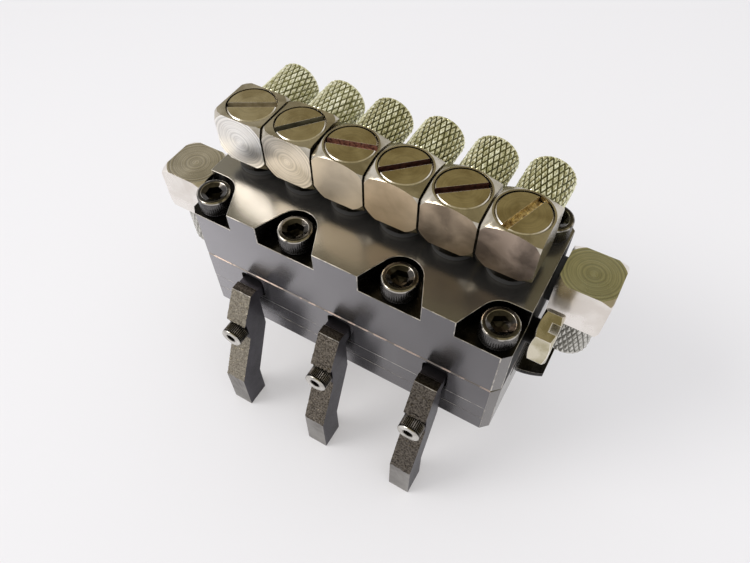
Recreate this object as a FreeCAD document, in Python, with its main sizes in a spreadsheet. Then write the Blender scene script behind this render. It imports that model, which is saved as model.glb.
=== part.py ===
import FreeCAD, Part

import math
import os
import re

import Sketcher

# Three-section hydraulic directional valve for scale-model machines, in millimetres.
# The origin is the middle of the underside of the block. X runs along the row of ports, Y runs
# from the levers at the front to the hose nuts at the back, and Z is up.

os.makedirs("parts", exist_ok=True)
doc = FreeCAD.newDocument("directional_valve")
V = FreeCAD.Vector

# name, value, what it is
SIZES = (
    ("block_length", 54.4, "block, along the row of ports"),
    ("block_depth", 24.2, "block, front to back"),
    ("corner_cut", 1.2, "bevel on the upright corners of the block"),
    ("seam_bevel", 0.25, "bevel round the seams between the plates"),
    ("upper_height", 13.1, "port body"),
    ("middle_height", 5.9, "lever plate"),
    ("lower_height", 3.5, "spool guide plate"),
    ("base_height", 3.5, "closing plate with the mounting ears"),
    ("ear_length", 4.2, "mounting ear beyond the end of the block"),
    ("ear_thick", 1.0, "mounting ear"),
    ("ear_setback", 12.6, "front of the ear behind the front of the block"),
    ("ear_rise", 1.2, "how far the bowed front edge of the ear falls back"),
    ("ear_bow", 11.0, "radius of the front edge of the ear"),
    ("ear_hole", 2.2, "clearance hole for an M2 screw"),
    ("ear_hole_back", 2.6, "hole centre from the back of the block"),
    ("bolt_inner", 8.85, "inner bolts from the middle of the block"),
    ("bolt_end", 3.1, "outer bolts before the ends of the block"),
    ("bolt_front", 3.3, "front bolts behind the front face"),
    ("bolt_back", 2.8, "rear bolts before the back face"),
    ("bolt_size", 3.0, "M3 thread"),
    ("bolt_play", 0.15, "gap round a bolt in its clearance hole"),
    ("bolt_head", 5.5, "diameter of a bolt head"),
    ("bolt_head_height", 3.0, "height of a bolt head"),
    ("bolt_key", 2.5, "hexagon socket across the flats"),
    ("bolt_key_depth", 1.7, "depth of the socket"),
    ("front_bolt_length", 22.0, "under the head"),
    ("rear_bolt_length", 25.0, "under the head"),
    ("pocket_depth", 3.35, "spot face for the front bolts"),
    ("pocket_radius", 3.3, "round of the spot face about the bolt"),
    ("pocket_flare", 5.05, "half width of the spot face at the front"),
    ("port_pitch", 8.56, "ports along the block"),
    ("port_setback", 12.5, "row of ports behind the front face"),
    ("port_depth", 5.2, "depth of a tapped port"),
    ("banjo_size", 4.0, "thread of the hollow banjo screws"),
    ("gallery", 3.0, "diameter of the long galleries"),
    ("front_gallery_share", 0.45725, "room before the tank gallery, as a share of the spare room"),
    ("front_gallery_drop", 6.0, "tank gallery below the top"),
    ("rear_gallery_share", 0.15828, "room behind the pressure gallery, as a share of it"),
    ("rear_gallery_drop", 4.75, "pressure gallery below the top"),
    ("rear_gallery_length", 46.0, "pressure gallery from the right end"),
    ("slot_width", 4.3, "lever slot"),
    ("slot_height", 4.7, "lever slot"),
    ("slot_lip", 0.7, "wall between the lever slot and the seam above it"),
    ("slot_round", 0.9, "corner radius of the lever slot"),
    ("slot_depth", 15.2, "lever slot, from the front face"),
    ("pivot_setback", 6.8, "hinge rod behind the front face"),
    ("rod_size", 2.0, "hinge rod"),
    ("rod_inset", 1.0, "end of the hinge rod inside the end of the block"),
    ("pivot_play", 0.03, "running clearance of a lever on the rod"),
    ("spool_size", 4.0, "spool"),
    ("spool_play", 0.04, "running clearance of a spool in its bore"),
    ("spool_length", 17.1, "spool"),
    ("spool_end_gap", 0.8, "room above and below a spool at rest"),
    ("spool_neck", 2.8, "diameter of the control grooves"),
    ("groove_length", 1.6, "length of a control groove"),
    ("land_length", 1.8, "end land of a spool"),
    ("seal_cord", 0.8, "section of the spool seal"),
    ("seal_play", 0.14, "gap between spool and its seal"),
    ("dowel_size", 2.0, "dowel pin"),
    ("dowel_length", 8.0, "dowel pin"),
    ("lever_width", 3.8, "lever, across"),
    ("lever_step", 1.4, "gap between the block and the crown of a lever"),
    ("lever_reach", 3.1, "front edge of the crown before the block"),
    ("crown_rise", 1.3, "crown above the hinge rod"),
    ("tongue_rise", 0.9, "tongue above the hinge rod"),
    ("tongue_fall", 1.3, "tongue below the hinge rod"),
    ("eye_radius", 1.9, "round eye of the lever on the hinge rod"),
    ("arm_lean", 30.6, "lean of the upper front face of the arm, in degrees"),
    ("arm_run", 6.1, "upper front face of the arm"),
    ("seat_step", 0.55, "ledge above the seat of the link screw"),
    ("seat_run", 4.2, "upright seat of the link screw"),
    ("shin_lean", 26.6, "lean of the lower front face of the arm, in degrees"),
    ("shin_run", 9.91, "lower front face of the arm"),
    ("tip_run", 8.9, "upright tip of the arm"),
    ("tip_thick", 4.4, "tip, front to back"),
    ("knee_fall", 2.1, "rear knee below the front one"),
    ("arm_gap", 1.25, "gap between the block and the arm behind it"),
    ("arm_straight", 8.7, "upright back of the arm below the hinge rod"),
    ("nose_width", 2.0, "nose of the lever that moves the spool"),
    ("nose_radius", 1.1, "round end of the nose"),
    ("nose_back", 0.6, "nose centre before the spool axis"),
    ("notch_play", 0.06, "gap above and below the nose in the spool"),
    ("link_size", 2.0, "M2 thread of the link screw"),
    ("link_head", 3.8, "head of the link screw"),
    ("link_head_height", 2.0, "head of the link screw"),
    ("link_key", 1.5, "hexagon socket across the flats"),
    ("link_key_depth", 1.0, "depth of the socket"),
    ("link_length", 4.0, "under the head"),
    ("link_place", 2.14, "link screw below the ledge of its seat"),
    ("cube_side", 8.2, "fitting body"),
    ("cube_bevel", 30.0, "turned bevel of the fitting body, in degrees"),
    ("face_radius", 4.75, "turned round of the end face"),
    ("square_radius", 5.1, "turned round of a top face that keeps its sides"),
    ("recess_size", 7.7, "recess for the banjo head"),
    ("boss_size", 7.0, "round foot of a fitting in the row"),
    ("boss_height", 1.9, "round foot of a fitting in the row"),
    ("washer_size", 7.0, "seal washer"),
    ("washer_thick", 0.8, "seal washer"),
    ("washer_play", 0.1, "gap round the banjo screw in washer and fitting"),
    ("head_size", 7.4, "head of the banjo screw"),
    ("head_thick", 1.8, "head of the banjo screw, flush in its recess"),
    ("head_slot", 1.05, "screwdriver slot of the banjo screw"),
    ("head_slot_depth", 0.9, "screwdriver slot of the banjo screw"),
    ("banjo_end_gap", 0.4, "room below the banjo screw in its port"),
    ("banjo_bore", 2.0, "oil way in the banjo screw"),
    ("spigot_size", 5.4, "threaded spigot"),
    ("spigot_length", 5.0, "threaded spigot"),
    ("nipple_size", 2.5, "hose nipple"),
    ("nipple_length", 8.0, "hose nipple from the fitting body"),
    ("nipple_bevel", 0.3, "bevel at the mouth of the nipple"),
    ("nipple_bore", 1.4, "oil way in the nipple"),
    ("nut_size", 7.3, "hose nut"),
    ("nut_length", 8.1, "hose nut"),
    ("nut_gap", 0.25, "gap between the fitting body and its nut"),
    ("nut_play", 0.06, "running clearance of the nut on its spigot"),
    ("nut_rim", 0.45, "bevel of the nut's rims"),
    ("hose_hole", 4.2, "hose hole in the end of the nut"),
    ("nut_wall", 1.4, "end wall of the nut"),
    ("relief_flats", 7.2, "relief adjuster across the flats"),
    ("relief_head", 2.9, "length of the hexagon"),
    ("relief_gap", 1.1, "hexagon from the end of the block"),
    ("relief_turn", 13.3, "turn of the hexagon from level, in degrees"),
    ("relief_bevel", 0.45, "bevel on both ends of the hexagon"),
    ("relief_size", 4.0, "thread of the relief adjuster"),
    ("relief_thread", 6.0, "thread in the block"),
    ("relief_slot", 1.5, "screwdriver slot"),
    ("relief_slot_depth", 1.3, "screwdriver slot"),
    ("spring_size", 2.4, "outside of the relief spring"),
    ("spring_wire", 0.4, "wire of the relief spring"),
    ("spring_pitch", 1.0, "pitch of the relief spring"),
    ("spring_length", 6.0, "relief spring as fitted"),
    ("ball_size", 2.4, "relief ball"),
)

# Slots of the six banjo screws, left to right, as they were left when tightened.
SLOT_ANGLES = (30.0, 50.0, 16.0, 43.0, 38.0, 71.0)
# Banjo heads of the two left fittings sit in bodies whose top keeps its flat sides.
SQUARE_TOPS = (True, True, False, False, False, False)
SECTION_NAMES = ("left", "middle", "right")

sheet = doc.addObject("Spreadsheet::Sheet", "Sizes")
for row, (alias, value, meaning) in enumerate(SIZES, start=1):
    sheet.set(f"A{row}", meaning)
    sheet.set(f"B{row}", str(value))
    sheet.setAlias(f"B{row}", alias)
doc.recompute()

WORDS = {alias for alias, _, _ in SIZES}
NAME = re.compile(r"[A-Za-z_]\w*")


def sized(expression):
    """Expression with every size written as a reference to the sheet."""
    return NAME.sub(lambda name: f"Sizes.{name[0]}" if name[0] in WORDS else name[0], expression)


def number(expression):
    """Present value of an expression, in millimetres or degrees."""
    value = sheet.evalExpression(sized(expression))
    return float(getattr(value, "Value", value))


def bind(thing, **expressions):
    """Ties properties of an object to expressions over the sheet."""
    for name, expression in expressions.items():
        thing.setExpression(name, sized(expression))


# ---- places that several pieces share ----
FRONT = "(-block_depth / 2)"
BACK = "(block_depth / 2)"
END = "(block_length / 2)"
BASE_TOP = "base_height"
LOWER_TOP = "(base_height + lower_height)"
MIDDLE_TOP = "(base_height + lower_height + middle_height)"
TOP = "(base_height + lower_height + middle_height + upper_height)"
PORT_Y = f"({FRONT} + port_setback)"
PIVOT_Y = f"({FRONT} + pivot_setback)"
PIVOT_Z = f"({MIDDLE_TOP} - slot_lip - slot_height / 2)"
HALF = "(cube_side / 2)"
SECTIONS = [f"({k} * 2 * port_pitch)" for k in (-1, 0, 1)]
PORTS = [f"({k} * port_pitch)" for k in (-2.5, -1.5, -0.5, 0.5, 1.5, 2.5)]
BOLT_OUTER = f"({END} - bolt_end)"
BOLT_XS = [f"(-{BOLT_OUTER})", "(-bolt_inner)", "bolt_inner", BOLT_OUTER]
FRONT_BOLT_Y = f"({FRONT} + bolt_front)"
REAR_BOLT_Y = f"({BACK} - bolt_back)"
DOWEL_X = f"((bolt_inner + {BOLT_OUTER}) / 2)"
DOWELS = [(f"-{DOWEL_X}", REAR_BOLT_Y), (DOWEL_X, REAR_BOLT_Y)]
# spare room between the bolt rows, once the relief adjuster and the end fitting stand in it
SPARE = (f"({REAR_BOLT_Y} - {FRONT_BOLT_Y} - bolt_size - relief_size / 2 - banjo_size / 2"
         " - cube_side / 2 - relief_flats / 2 / cos(30))")
TANK_AXIS = (f"({FRONT_BOLT_Y} + bolt_size / 2 + relief_size / 2 + front_gallery_share * {SPARE})",
             f"({TOP} - front_gallery_drop)")
PRESSURE_AXIS = (f"({REAR_BOLT_Y} - bolt_size / 2 - banjo_size / 2 - rear_gallery_share * {SPARE})",
                 f"({TOP} - rear_gallery_drop)")


# ---- sketch helpers ----
def sketch_on(body, role, name, level="0"):
    """Sketch on one of the body's own planes, raised by level along the plane's normal."""
    plane = next(f for f in body.Origin.OriginFeatures if f.Role == role)
    sketch = body.newObject("Sketcher::SketchObject", name)
    sketch.AttachmentSupport = [(plane, "")]
    sketch.MapMode = "FlatFace"
    if level != "0":
        sketch.setExpression("AttachmentOffset.Base.z", sized(level))
    doc.recompute()
    return sketch


def pin(sketch, edge, end, place):
    """Holds one point of the sketch at a pair of expressions."""
    for kind, axis, expression in (("DistanceX", -2, place[0]), ("DistanceY", -1, place[1])):
        if expression == "0":
            sketch.addConstraint(Sketcher.Constraint("PointOnObject", edge, end, axis))
            continue
        index = sketch.addConstraint(
            Sketcher.Constraint(kind, -1, 1, edge, end, number(expression)))
        sketch.setExpression(f"Constraints[{index}]", sized(expression))


def outline(sketch, corners):
    """Closed polygon through corners given as pairs of expressions."""
    places = [V(number(x), number(y), 0) for x, y in corners]
    first = sketch.GeometryCount
    count = len(corners)
    for i in range(count):
        sketch.addGeometry(Part.LineSegment(places[i], places[(i + 1) % count]), False)
    for i in range(count):
        after = first + (i + 1) % count
        sketch.addConstraint(Sketcher.Constraint("Coincident", first + i, 2, after, 1))
        pin(sketch, first + i, 1, corners[i])


def circle(sketch, x, y, radius):
    """Circle with its middle and radius given as expressions."""
    middle = V(number(x), number(y), 0)
    edge = sketch.addGeometry(Part.Circle(middle, V(0, 0, 1), number(radius)), False)
    pin(sketch, edge, 3, (x, y))
    index = sketch.addConstraint(Sketcher.Constraint("Radius", edge, number(radius)))
    sketch.setExpression(f"Constraints[{index}]", sized(radius))


def hexagon(sketch, flats):
    """Regular hexagon about the sketch's origin, with two sides level."""
    reach = f"({flats} / sqrt(3))"
    outline(sketch, [(f"{reach} * cos({60 * k})", f"{reach} * sin({60 * k})" if k % 3 else "0")
                     for k in range(6)])


# ---- feature helpers ----
def new_body(label, x="0", y="0", z="0", turn=None):
    """Empty body with its origin at a place given as expressions."""
    body = doc.addObject("PartDesign::Body", label)
    body.Label = label
    if turn is not None:
        body.Placement = FreeCAD.Placement(V(), turn)
    for axis, expression in (("x", x), ("y", y), ("z", z)):
        if expression != "0":
            body.setExpression(f"Placement.Base.{axis}", sized(expression))
    return body


def extrude(body, kind, sketch, length, both_ways=False, other_way=False):
    """Pad or Pocket of a sketch; checks that a pocket really removes material."""
    before = body.Shape.Volume if kind == "Pocket" else 0.0
    feature = body.newObject(f"PartDesign::{kind}", f"{kind}_{sketch.Name}")
    feature.Profile = sketch
    feature.SideType = "Symmetric" if both_ways else "One side"
    feature.Reversed = other_way
    bind(feature, Length=length)
    doc.recompute()
    if kind == "Pocket" and body.Shape.Volume > before - 1e-6:
        raise RuntimeError(f"{feature.Name} cuts nothing")
    return feature


def pad(body, sketch, length, **how):
    return extrude(body, "Pad", sketch, length, **how)


def pocket(body, sketch, length, **how):
    return extrude(body, "Pocket", sketch, length, **how)


def turned(body, sketch, axis="V_Axis", cut=False):
    """Revolution of a sketch about one of its axes, or the groove that it cuts."""
    before = body.Shape.Volume if cut else 0.0
    kind = "Groove" if cut else "Revolution"
    feature = body.newObject(f"PartDesign::{kind}", f"{kind}_{sketch.Name}")
    feature.Profile = sketch
    feature.ReferenceAxis = (sketch, [axis])
    feature.Angle = 360.0
    doc.recompute()
    if cut and body.Shape.Volume > before - 1e-6:
        raise RuntimeError(f"{feature.Name} cuts nothing")
    return feature


def bevel(body, size, chosen):
    """Bevel on the edges of the body that the test picks."""
    base = body.Tip
    names = [f"Edge{i}" for i, edge in enumerate(base.Shape.Edges, start=1) if chosen(edge)]
    feature = body.newObject("PartDesign::Chamfer", f"Bevel_{body.Name}_{len(body.Group)}")
    feature.Base = (base, names)
    bind(feature, Size=size)
    doc.recompute()
    return feature


def rim_at(level, reach):
    """Test for the outer edges of a plate at one level."""
    def chosen(edge):
        box = edge.BoundBox
        flat = abs(box.ZMin - level) < 1e-6 and abs(box.ZMax - level) < 1e-6
        middle = edge.CenterOfMass
        outside = (abs(abs(middle.x) - reach[0]) < 1e-6 or abs(abs(middle.y) - reach[1]) < 1e-6
                   or edge.Length < reach[2])
        return flat and outside and edge.Curve.TypeId == "Part::GeomLine"
    return chosen


def group(label, pieces):
    """One node that holds several equal, separate pieces."""
    node = doc.addObject("Part::Compound", label)
    node.Label = label
    node.Links = pieces
    doc.recompute()
    return node


# ---- the stacked block ----
def block_outline(sketch):
    """Plan of the block: a rectangle with bevelled upright corners."""
    x, y, c = END, BACK, "corner_cut"
    outline(sketch, [
        (f"-{x} + {c}", f"-{y}"), (f"{x} - {c}", f"-{y}"), (x, f"-{y} + {c}"),
        (x, f"{y} - {c}"), (f"{x} - {c}", y), (f"-{x} + {c}", y),
        (f"-{x}", f"{y} - {c}"), (f"-{x}", f"-{y} + {c}")])


def plate(label, height, level):
    """Plain plate of the stack, with its underside at the given level."""
    body = new_body(label, z=level)
    plan = sketch_on(body, "XY_Plane", f"{label}_plan")
    block_outline(plan)
    pad(body, plan, height)
    return body


def drill(body, name, places, radius, level, depth, other_way=False):
    """Equal upright holes from one level; downwards unless other_way."""
    holes = sketch_on(body, "XY_Plane", name, level)
    for x, y in places:
        circle(holes, x, y, radius)
    pocket(body, holes, depth, other_way=other_way)


def bolt_places():
    return [(x, y) for y in (FRONT_BOLT_Y, REAR_BOLT_Y) for x in BOLT_XS]


def spool_places():
    return [(x, PORT_Y) for x in SECTIONS]


def plate_reach():
    """Where the outer edges of a plate lie, and how long its corner bevels are."""
    return number(END), number(BACK), 1.5 * number("corner_cut") * math.sqrt(2) / 1.0


def spot_faces(body):
    """Spot faces of the front bolts, open to the front, the end ones open to the ends too."""
    wedges = sketch_on(body, "XY_Plane", "spot_face_wedges", "upper_height")
    slant = "sqrt(pocket_flare * pocket_flare + bolt_front * bolt_front)"
    turn = f"(acos(pocket_radius / {slant}) - asin(bolt_front / {slant}))"
    across, back = f"pocket_radius * cos({turn})", f"pocket_radius * sin({turn})"
    over = "1"
    for x, side in zip(BOLT_XS, (-1, 0, 0, 1)):
        near = (f"{x} - {side or 1} * pocket_flare", f"{FRONT} - {over}")
        near_front = (f"{x} - {side or 1} * pocket_flare", FRONT)
        touch = (f"{x} - {side or 1} * {across}", f"{FRONT_BOLT_Y} + {back}")
        if side:
            far = f"{side} * ({END} + {over})"
            wall = f"{FRONT_BOLT_Y} + pocket_radius"
            corners = [near, near_front, touch, (x, FRONT_BOLT_Y), (x, wall), (far, wall),
                       (far, f"{FRONT} - {over}")]
        else:
            corners = [near, near_front, touch,
                       (f"{x} + {across}", f"{FRONT_BOLT_Y} + {back}"),
                       (f"{x} + pocket_flare", FRONT),
                       (f"{x} + pocket_flare", f"{FRONT} - {over}")]
        outline(wedges, corners)
    pocket(body, wedges, "pocket_depth")
    drill(body, "spot_face_rounds", [(x, FRONT_BOLT_Y) for x in BOLT_XS], "pocket_radius",
          "upper_height", "pocket_depth")


def long_bore(body, name, axis, radius, depth, from_left=False):
    """Bore along X from one end of the port body."""
    level = f"-{END}" if from_left else END
    bore = sketch_on(body, "YZ_Plane", name, level)
    circle(bore, axis[0], f"{axis[1]} - {MIDDLE_TOP}", radius)
    pocket(body, bore, depth, other_way=from_left)


def upper_body():
    body = plate("upper_body", "upper_height", MIDDLE_TOP)
    bevel(body, "seam_bevel", rim_at(0.0, plate_reach()))
    spot_faces(body)
    drill(body, "upper_bolt_holes", bolt_places(), "bolt_size / 2 + bolt_play",
          "upper_height", "upper_height + 1")
    drill(body, "port_bores", [(x, PORT_Y) for x in PORTS], "banjo_size / 2",
          "upper_height", "port_depth")
    drill(body, "spool_bores", spool_places(), "spool_size / 2 + spool_play", "0",
          f"{PIVOT_Z} + spool_length / 2 + spool_end_gap - {MIDDLE_TOP}", other_way=True)
    drill(body, "seal_grooves", spool_places(),
          "spool_size / 2 + seal_play + seal_cord", "0", "seal_cord", other_way=True)
    drill(body, "upper_dowel_holes", DOWELS, "dowel_size / 2", "0", "dowel_length / 2",
          other_way=True)
    long_bore(body, "tank_gallery", TANK_AXIS, "gallery / 2", "block_length")
    long_bore(body, "tank_port", TANK_AXIS, "banjo_size / 2", "port_depth", from_left=True)
    long_bore(body, "relief_port", TANK_AXIS, "relief_size / 2",
              "relief_thread + banjo_end_gap")
    long_bore(body, "pressure_gallery", PRESSURE_AXIS, "gallery / 2", "rear_gallery_length")
    long_bore(body, "pressure_port", PRESSURE_AXIS, "banjo_size / 2", "port_depth")
    return body


def rounded_slots(sketch, middles, width, low, high, radius):
    """Upright rectangles with round corners, all between the same two levels."""
    for x in middles:
        left, right = f"{x} - {width} / 2", f"{x} + {width} / 2"
        a, b, c, d = number(left), number(right), number(low), number(high)
        r = number(radius)
        first = sketch.GeometryCount
        for start, end in ((V(a + r, c, 0), V(b - r, c, 0)), (V(b, c + r, 0), V(b, d - r, 0)),
                           (V(b - r, d, 0), V(a + r, d, 0)), (V(a, d - r, 0), V(a, c + r, 0))):
            sketch.addGeometry(Part.LineSegment(start, end), False)
        for middle, start in ((V(b - r, c + r, 0), -90), (V(b - r, d - r, 0), 0),
                              (V(a + r, d - r, 0), 90), (V(a + r, c + r, 0), 180)):
            arc = Part.ArcOfCircle(Part.Circle(middle, V(0, 0, 1), r),
                                   math.radians(start), math.radians(start + 90))
            sketch.addGeometry(arc, False)
        for k in range(4):
            arc = first + 4 + k
            sketch.addConstraint(Sketcher.Constraint("Tangent", first + k, 2, arc, 1))
            sketch.addConstraint(Sketcher.Constraint("Tangent", arc, 2, first + (k + 1) % 4, 1))
            kind = "Horizontal" if k % 2 == 0 else "Vertical"
            sketch.addConstraint(Sketcher.Constraint(kind, first + k))
            if k:
                sketch.addConstraint(Sketcher.Constraint("Equal", first + 4, arc))
        index = sketch.addConstraint(Sketcher.Constraint("Radius", first + 4, r))
        sketch.setExpression(f"Constraints[{index}]", sized(radius))
        for edge, kind, expression in ((0, "DistanceY", low), (1, "DistanceX", right),
                                       (2, "DistanceY", high), (3, "DistanceX", left)):
            index = sketch.addConstraint(
                Sketcher.Constraint(kind, -1, 1, first + edge, 1, number(expression)))
            sketch.setExpression(f"Constraints[{index}]", sized(expression))


def middle_plate():
    body = plate("middle_plate", "middle_height", LOWER_TOP)
    bevel(body, "seam_bevel", rim_at(number("middle_height"), plate_reach()))
    slots = sketch_on(body, "XZ_Plane", "lever_slots", f"-{FRONT}")
    high = "middle_height - slot_lip"
    rounded_slots(slots, SECTIONS, "slot_width", f"{high} - slot_height", high, "slot_round")
    pocket(body, slots, "slot_depth")
    drill(body, "middle_bolt_holes", bolt_places(), "bolt_size / 2 + bolt_play",
          "middle_height", "middle_height + 1")
    drill(body, "middle_spool_bores", spool_places(), "spool_size / 2 + spool_play",
          "middle_height", "middle_height + 1")
    drill(body, "middle_dowel_holes", DOWELS, "dowel_size / 2", "middle_height",
          "dowel_length / 2")
    rod = sketch_on(body, "YZ_Plane", "rod_bore")
    circle(rod, PIVOT_Y, f"{PIVOT_Z} - {LOWER_TOP}", "rod_size / 2")
    pocket(body, rod, "block_length + 2", both_ways=True)
    return body


def lower_plate():
    body = plate("lower_plate", "lower_height", BASE_TOP)
    drill(body, "lower_bolt_holes", bolt_places(), "bolt_size / 2 + bolt_play",
          "lower_height", "lower_height + 1")
    drill(body, "lower_spool_bores", spool_places(), "spool_size / 2 + spool_play",
          "lower_height", "lower_height + 1")
    return body


def ear(body, side):
    """Mounting ear at one end, level with the underside, its front edge bowed."""
    plan = sketch_on(body, "XY_Plane", f"ear_{'left' if side < 0 else 'right'}")
    root, tip = f"{side} * ({END} - corner_cut - 1)", f"{side} * ({END} + ear_length)"
    waist = f"{side} * {END}"
    front = f"{FRONT} + ear_setback"
    corners = [(root, front), (waist, front), (tip, f"{front} + ear_rise"),
               (tip, f"{BACK} - corner_cut"), (root, f"{BACK} - corner_cut")]
    places = [V(number(x), number(y), 0) for x, y in corners]
    bow = number("ear_bow")
    chord = places[2] - places[1]
    across = V(-chord.y, chord.x, 0).normalize() * side
    middle = (places[1] + places[2]) / 2 + across * math.sqrt(bow ** 2 - (chord.Length / 2) ** 2)
    crown = middle - across * bow
    for i in range(5):
        edge = Part.LineSegment(places[i], places[(i + 1) % 5])
        if i == 1:
            edge = Part.Arc(places[1], crown, places[2])
        plan.addGeometry(edge, False)
    for i in range(5):
        end = 2 if i != 1 or side > 0 else 1
        start = 1 if (i + 1) % 5 != 1 or side > 0 else 2
        plan.addConstraint(Sketcher.Constraint("Coincident", i, end, (i + 1) % 5, start))
        pin(plan, i, 1 if i != 1 or side > 0 else 2, corners[i])
    index = plan.addConstraint(Sketcher.Constraint("Radius", 1, bow))
    plan.setExpression(f"Constraints[{index}]", sized("ear_bow"))
    pad(body, plan, "ear_thick")


def base_plate():
    body = plate("base_plate", "base_height", "0")
    for side in (-1, 1):
        ear(body, side)
    drill(body, "base_bolt_holes", bolt_places(), "bolt_size / 2", "base_height", "base_height + 1")
    drill(body, "base_spool_wells", spool_places(), "spool_size / 2 + spool_play",
          "base_height", f"{BASE_TOP} - {PIVOT_Z} + spool_length / 2 + spool_end_gap")
    ear_x = f"({END} + ear_length / 2)"
    drill(body, "ear_holes", [(f"-{ear_x}", f"{BACK} - ear_hole_back"),
                              (ear_x, f"{BACK} - ear_hole_back")],
          "ear_hole / 2", "ear_thick", "ear_thick + 1")
    return body


# ---- fasteners and pins ----
def cap_screw(label, head, head_height, key, key_depth, size, length, **place):
    """Socket head cap screw; its origin is under the head and Z points out of the head."""
    body = new_body(label, **place)
    profile = sketch_on(body, "XZ_Plane", f"{label}_profile")
    rim = f"{head_height} / 10"
    outline(profile, [
        ("0", f"-{length}"), (f"{size} / 2 - {size} / 8", f"-{length}"),
        (f"{size} / 2", f"-{length} + {size} / 8"), (f"{size} / 2", "0"), (f"{head} / 2", "0"),
        (f"{head} / 2", f"{head_height} - {rim}"), (f"{head} / 2 - {rim}", head_height),
        ("0", head_height)])
    turned(body, profile)
    socket = sketch_on(body, "XY_Plane", f"{label}_socket", head_height)
    hexagon(socket, key)
    pocket(body, socket, key_depth)
    return body


def bolts():
    rows = (("front_bolts", FRONT_BOLT_Y, f"{TOP} - pocket_depth", "front_bolt_length"),
            ("rear_bolts", REAR_BOLT_Y, TOP, "rear_bolt_length"))
    nodes = []
    for label, y, z, length in rows:
        pieces = [cap_screw(f"{label}_{i}", "bolt_head", "bolt_head_height", "bolt_key",
                            "bolt_key_depth", "bolt_size", length, x=x, y=y, z=z)
                  for i, x in enumerate(BOLT_XS, start=1)]
        nodes.append(group(label, pieces))
    return nodes


def cylinder(label, radius, height, x, y, z, turn=None):
    """Plain round pin."""
    piece = doc.addObject("Part::Cylinder", label)
    piece.Label = label
    bind(piece, Radius=radius, Height=height)
    if turn is not None:
        piece.Placement = FreeCAD.Placement(V(), turn)
    for axis, expression in (("x", x), ("y", y), ("z", z)):
        piece.setExpression(f"Placement.Base.{axis}", sized(expression))
    return piece


ALONG_X = FreeCAD.Rotation(V(0, 1, 0), 90)


def pins():
    rod = cylinder("hinge_rod", "rod_size / 2", "block_length - 2 * rod_inset",
                   f"-{END} + rod_inset", PIVOT_Y, PIVOT_Z, ALONG_X)
    dowels = [cylinder(f"dowel_{i}", "dowel_size / 2", "dowel_length", x, y,
                       f"{MIDDLE_TOP} - dowel_length / 2")
              for i, (x, y) in enumerate(DOWELS, start=1)]
    return [rod, group("dowel_pins", dowels)]


def spool_seals():
    """Seal rings in the grooves where the spools leave the port body."""
    rings = []
    for i, x in enumerate(SECTIONS, start=1):
        ring = doc.addObject("Part::Torus", f"spool_seal_{i}")
        bind(ring, Radius1="spool_size / 2 + seal_play + seal_cord / 2", Radius2="seal_cord / 2")
        ring.setExpression("Placement.Base.x", sized(x))
        ring.setExpression("Placement.Base.y", sized(PORT_Y))
        ring.setExpression("Placement.Base.z", sized(f"{MIDDLE_TOP} + seal_cord / 2"))
        rings.append(ring)
    return group("spool_seals", rings)


# ---- levers and spools ----
def lever(label, x):
    """Rocking lever: tongue on the hinge rod, crown outside the slot, leaning arm, upright tip."""
    body = new_body(label, x=x, y=PIVOT_Y, z=PIVOT_Z)
    face = "(-pivot_setback)"
    front = f"({face} - lever_reach)"
    ledge = (f"({front} - arm_run * sin(arm_lean))", "(crown_rise - arm_run * cos(arm_lean))")
    seat = f"({ledge[0]} + seat_step)"
    knee = (f"{seat} - shin_run * sin(shin_lean)",
            f"{ledge[1]} - seat_run - shin_run * cos(shin_lean)")
    tip = f"{knee[1]} - tip_run"
    rear = f"{knee[0]} + tip_thick"
    tongue_end = "port_setback - pivot_setback - spool_size / 2 - 0.3"
    side = sketch_on(body, "YZ_Plane", f"{label}_side")
    outline(side, [
        (tongue_end, "tongue_rise"), (f"{face} - lever_step", "tongue_rise"),
        (f"{face} - lever_step", "crown_rise"), (front, "crown_rise"), ledge,
        (seat, ledge[1]), (seat, f"{ledge[1]} - seat_run"), knee,
        (knee[0], tip), (rear, tip), (rear, f"{knee[1]} - knee_fall"),
        (f"{face} - arm_gap", "-arm_straight"), (f"{face} - arm_gap", "-tongue_fall"),
        (tongue_end, "-tongue_fall")])
    pad(body, side, "lever_width", both_ways=True)
    eye = sketch_on(body, "YZ_Plane", f"{label}_eye")
    circle(eye, "0", "0", "eye_radius")
    pad(body, eye, "lever_width", both_ways=True)
    nose = "port_setback - pivot_setback - nose_back"
    neck = sketch_on(body, "YZ_Plane", f"{label}_neck")
    outline(neck, [(f"{tongue_end} - 1", "-nose_radius * 0.8"), (nose, "-nose_radius * 0.8"),
                   (nose, "nose_radius * 0.8"), (f"{tongue_end} - 1", "nose_radius * 0.8")])
    pad(body, neck, "nose_width", both_ways=True)
    ball = sketch_on(body, "YZ_Plane", f"{label}_nose")
    circle(ball, nose, "0", "nose_radius")
    pad(body, ball, "nose_width", both_ways=True)
    bore = sketch_on(body, "YZ_Plane", f"{label}_bore")
    circle(bore, "0", "0", "rod_size / 2 + pivot_play")
    pocket(body, bore, "lever_width + 2", both_ways=True)
    return body


LINK_Y = f"({PIVOT_Y} - pivot_setback - lever_reach - arm_run * sin(arm_lean) + seat_step)"
LINK_Z = f"({PIVOT_Z} + crown_rise - arm_run * cos(arm_lean) - link_place)"
FORWARDS = FreeCAD.Rotation(V(1, 0, 0), 90)


def tapped_lever(label, x):
    """Lever with the tapped hole of its link screw."""
    body = lever(label, x)
    hole = sketch_on(body, "XY_Plane", f"{label}_tapped")
    hole.AttachmentOffset = FreeCAD.Placement(V(), FORWARDS)
    hole.setExpression("AttachmentOffset.Base.y", sized(f"{LINK_Y} - {PIVOT_Y}"))
    hole.setExpression("AttachmentOffset.Base.z", sized(f"{LINK_Z} - {PIVOT_Z}"))
    circle(hole, "0", "0", "link_size / 2")
    pocket(body, hole, "lever_reach + seat_step + arm_run")
    return body


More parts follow.
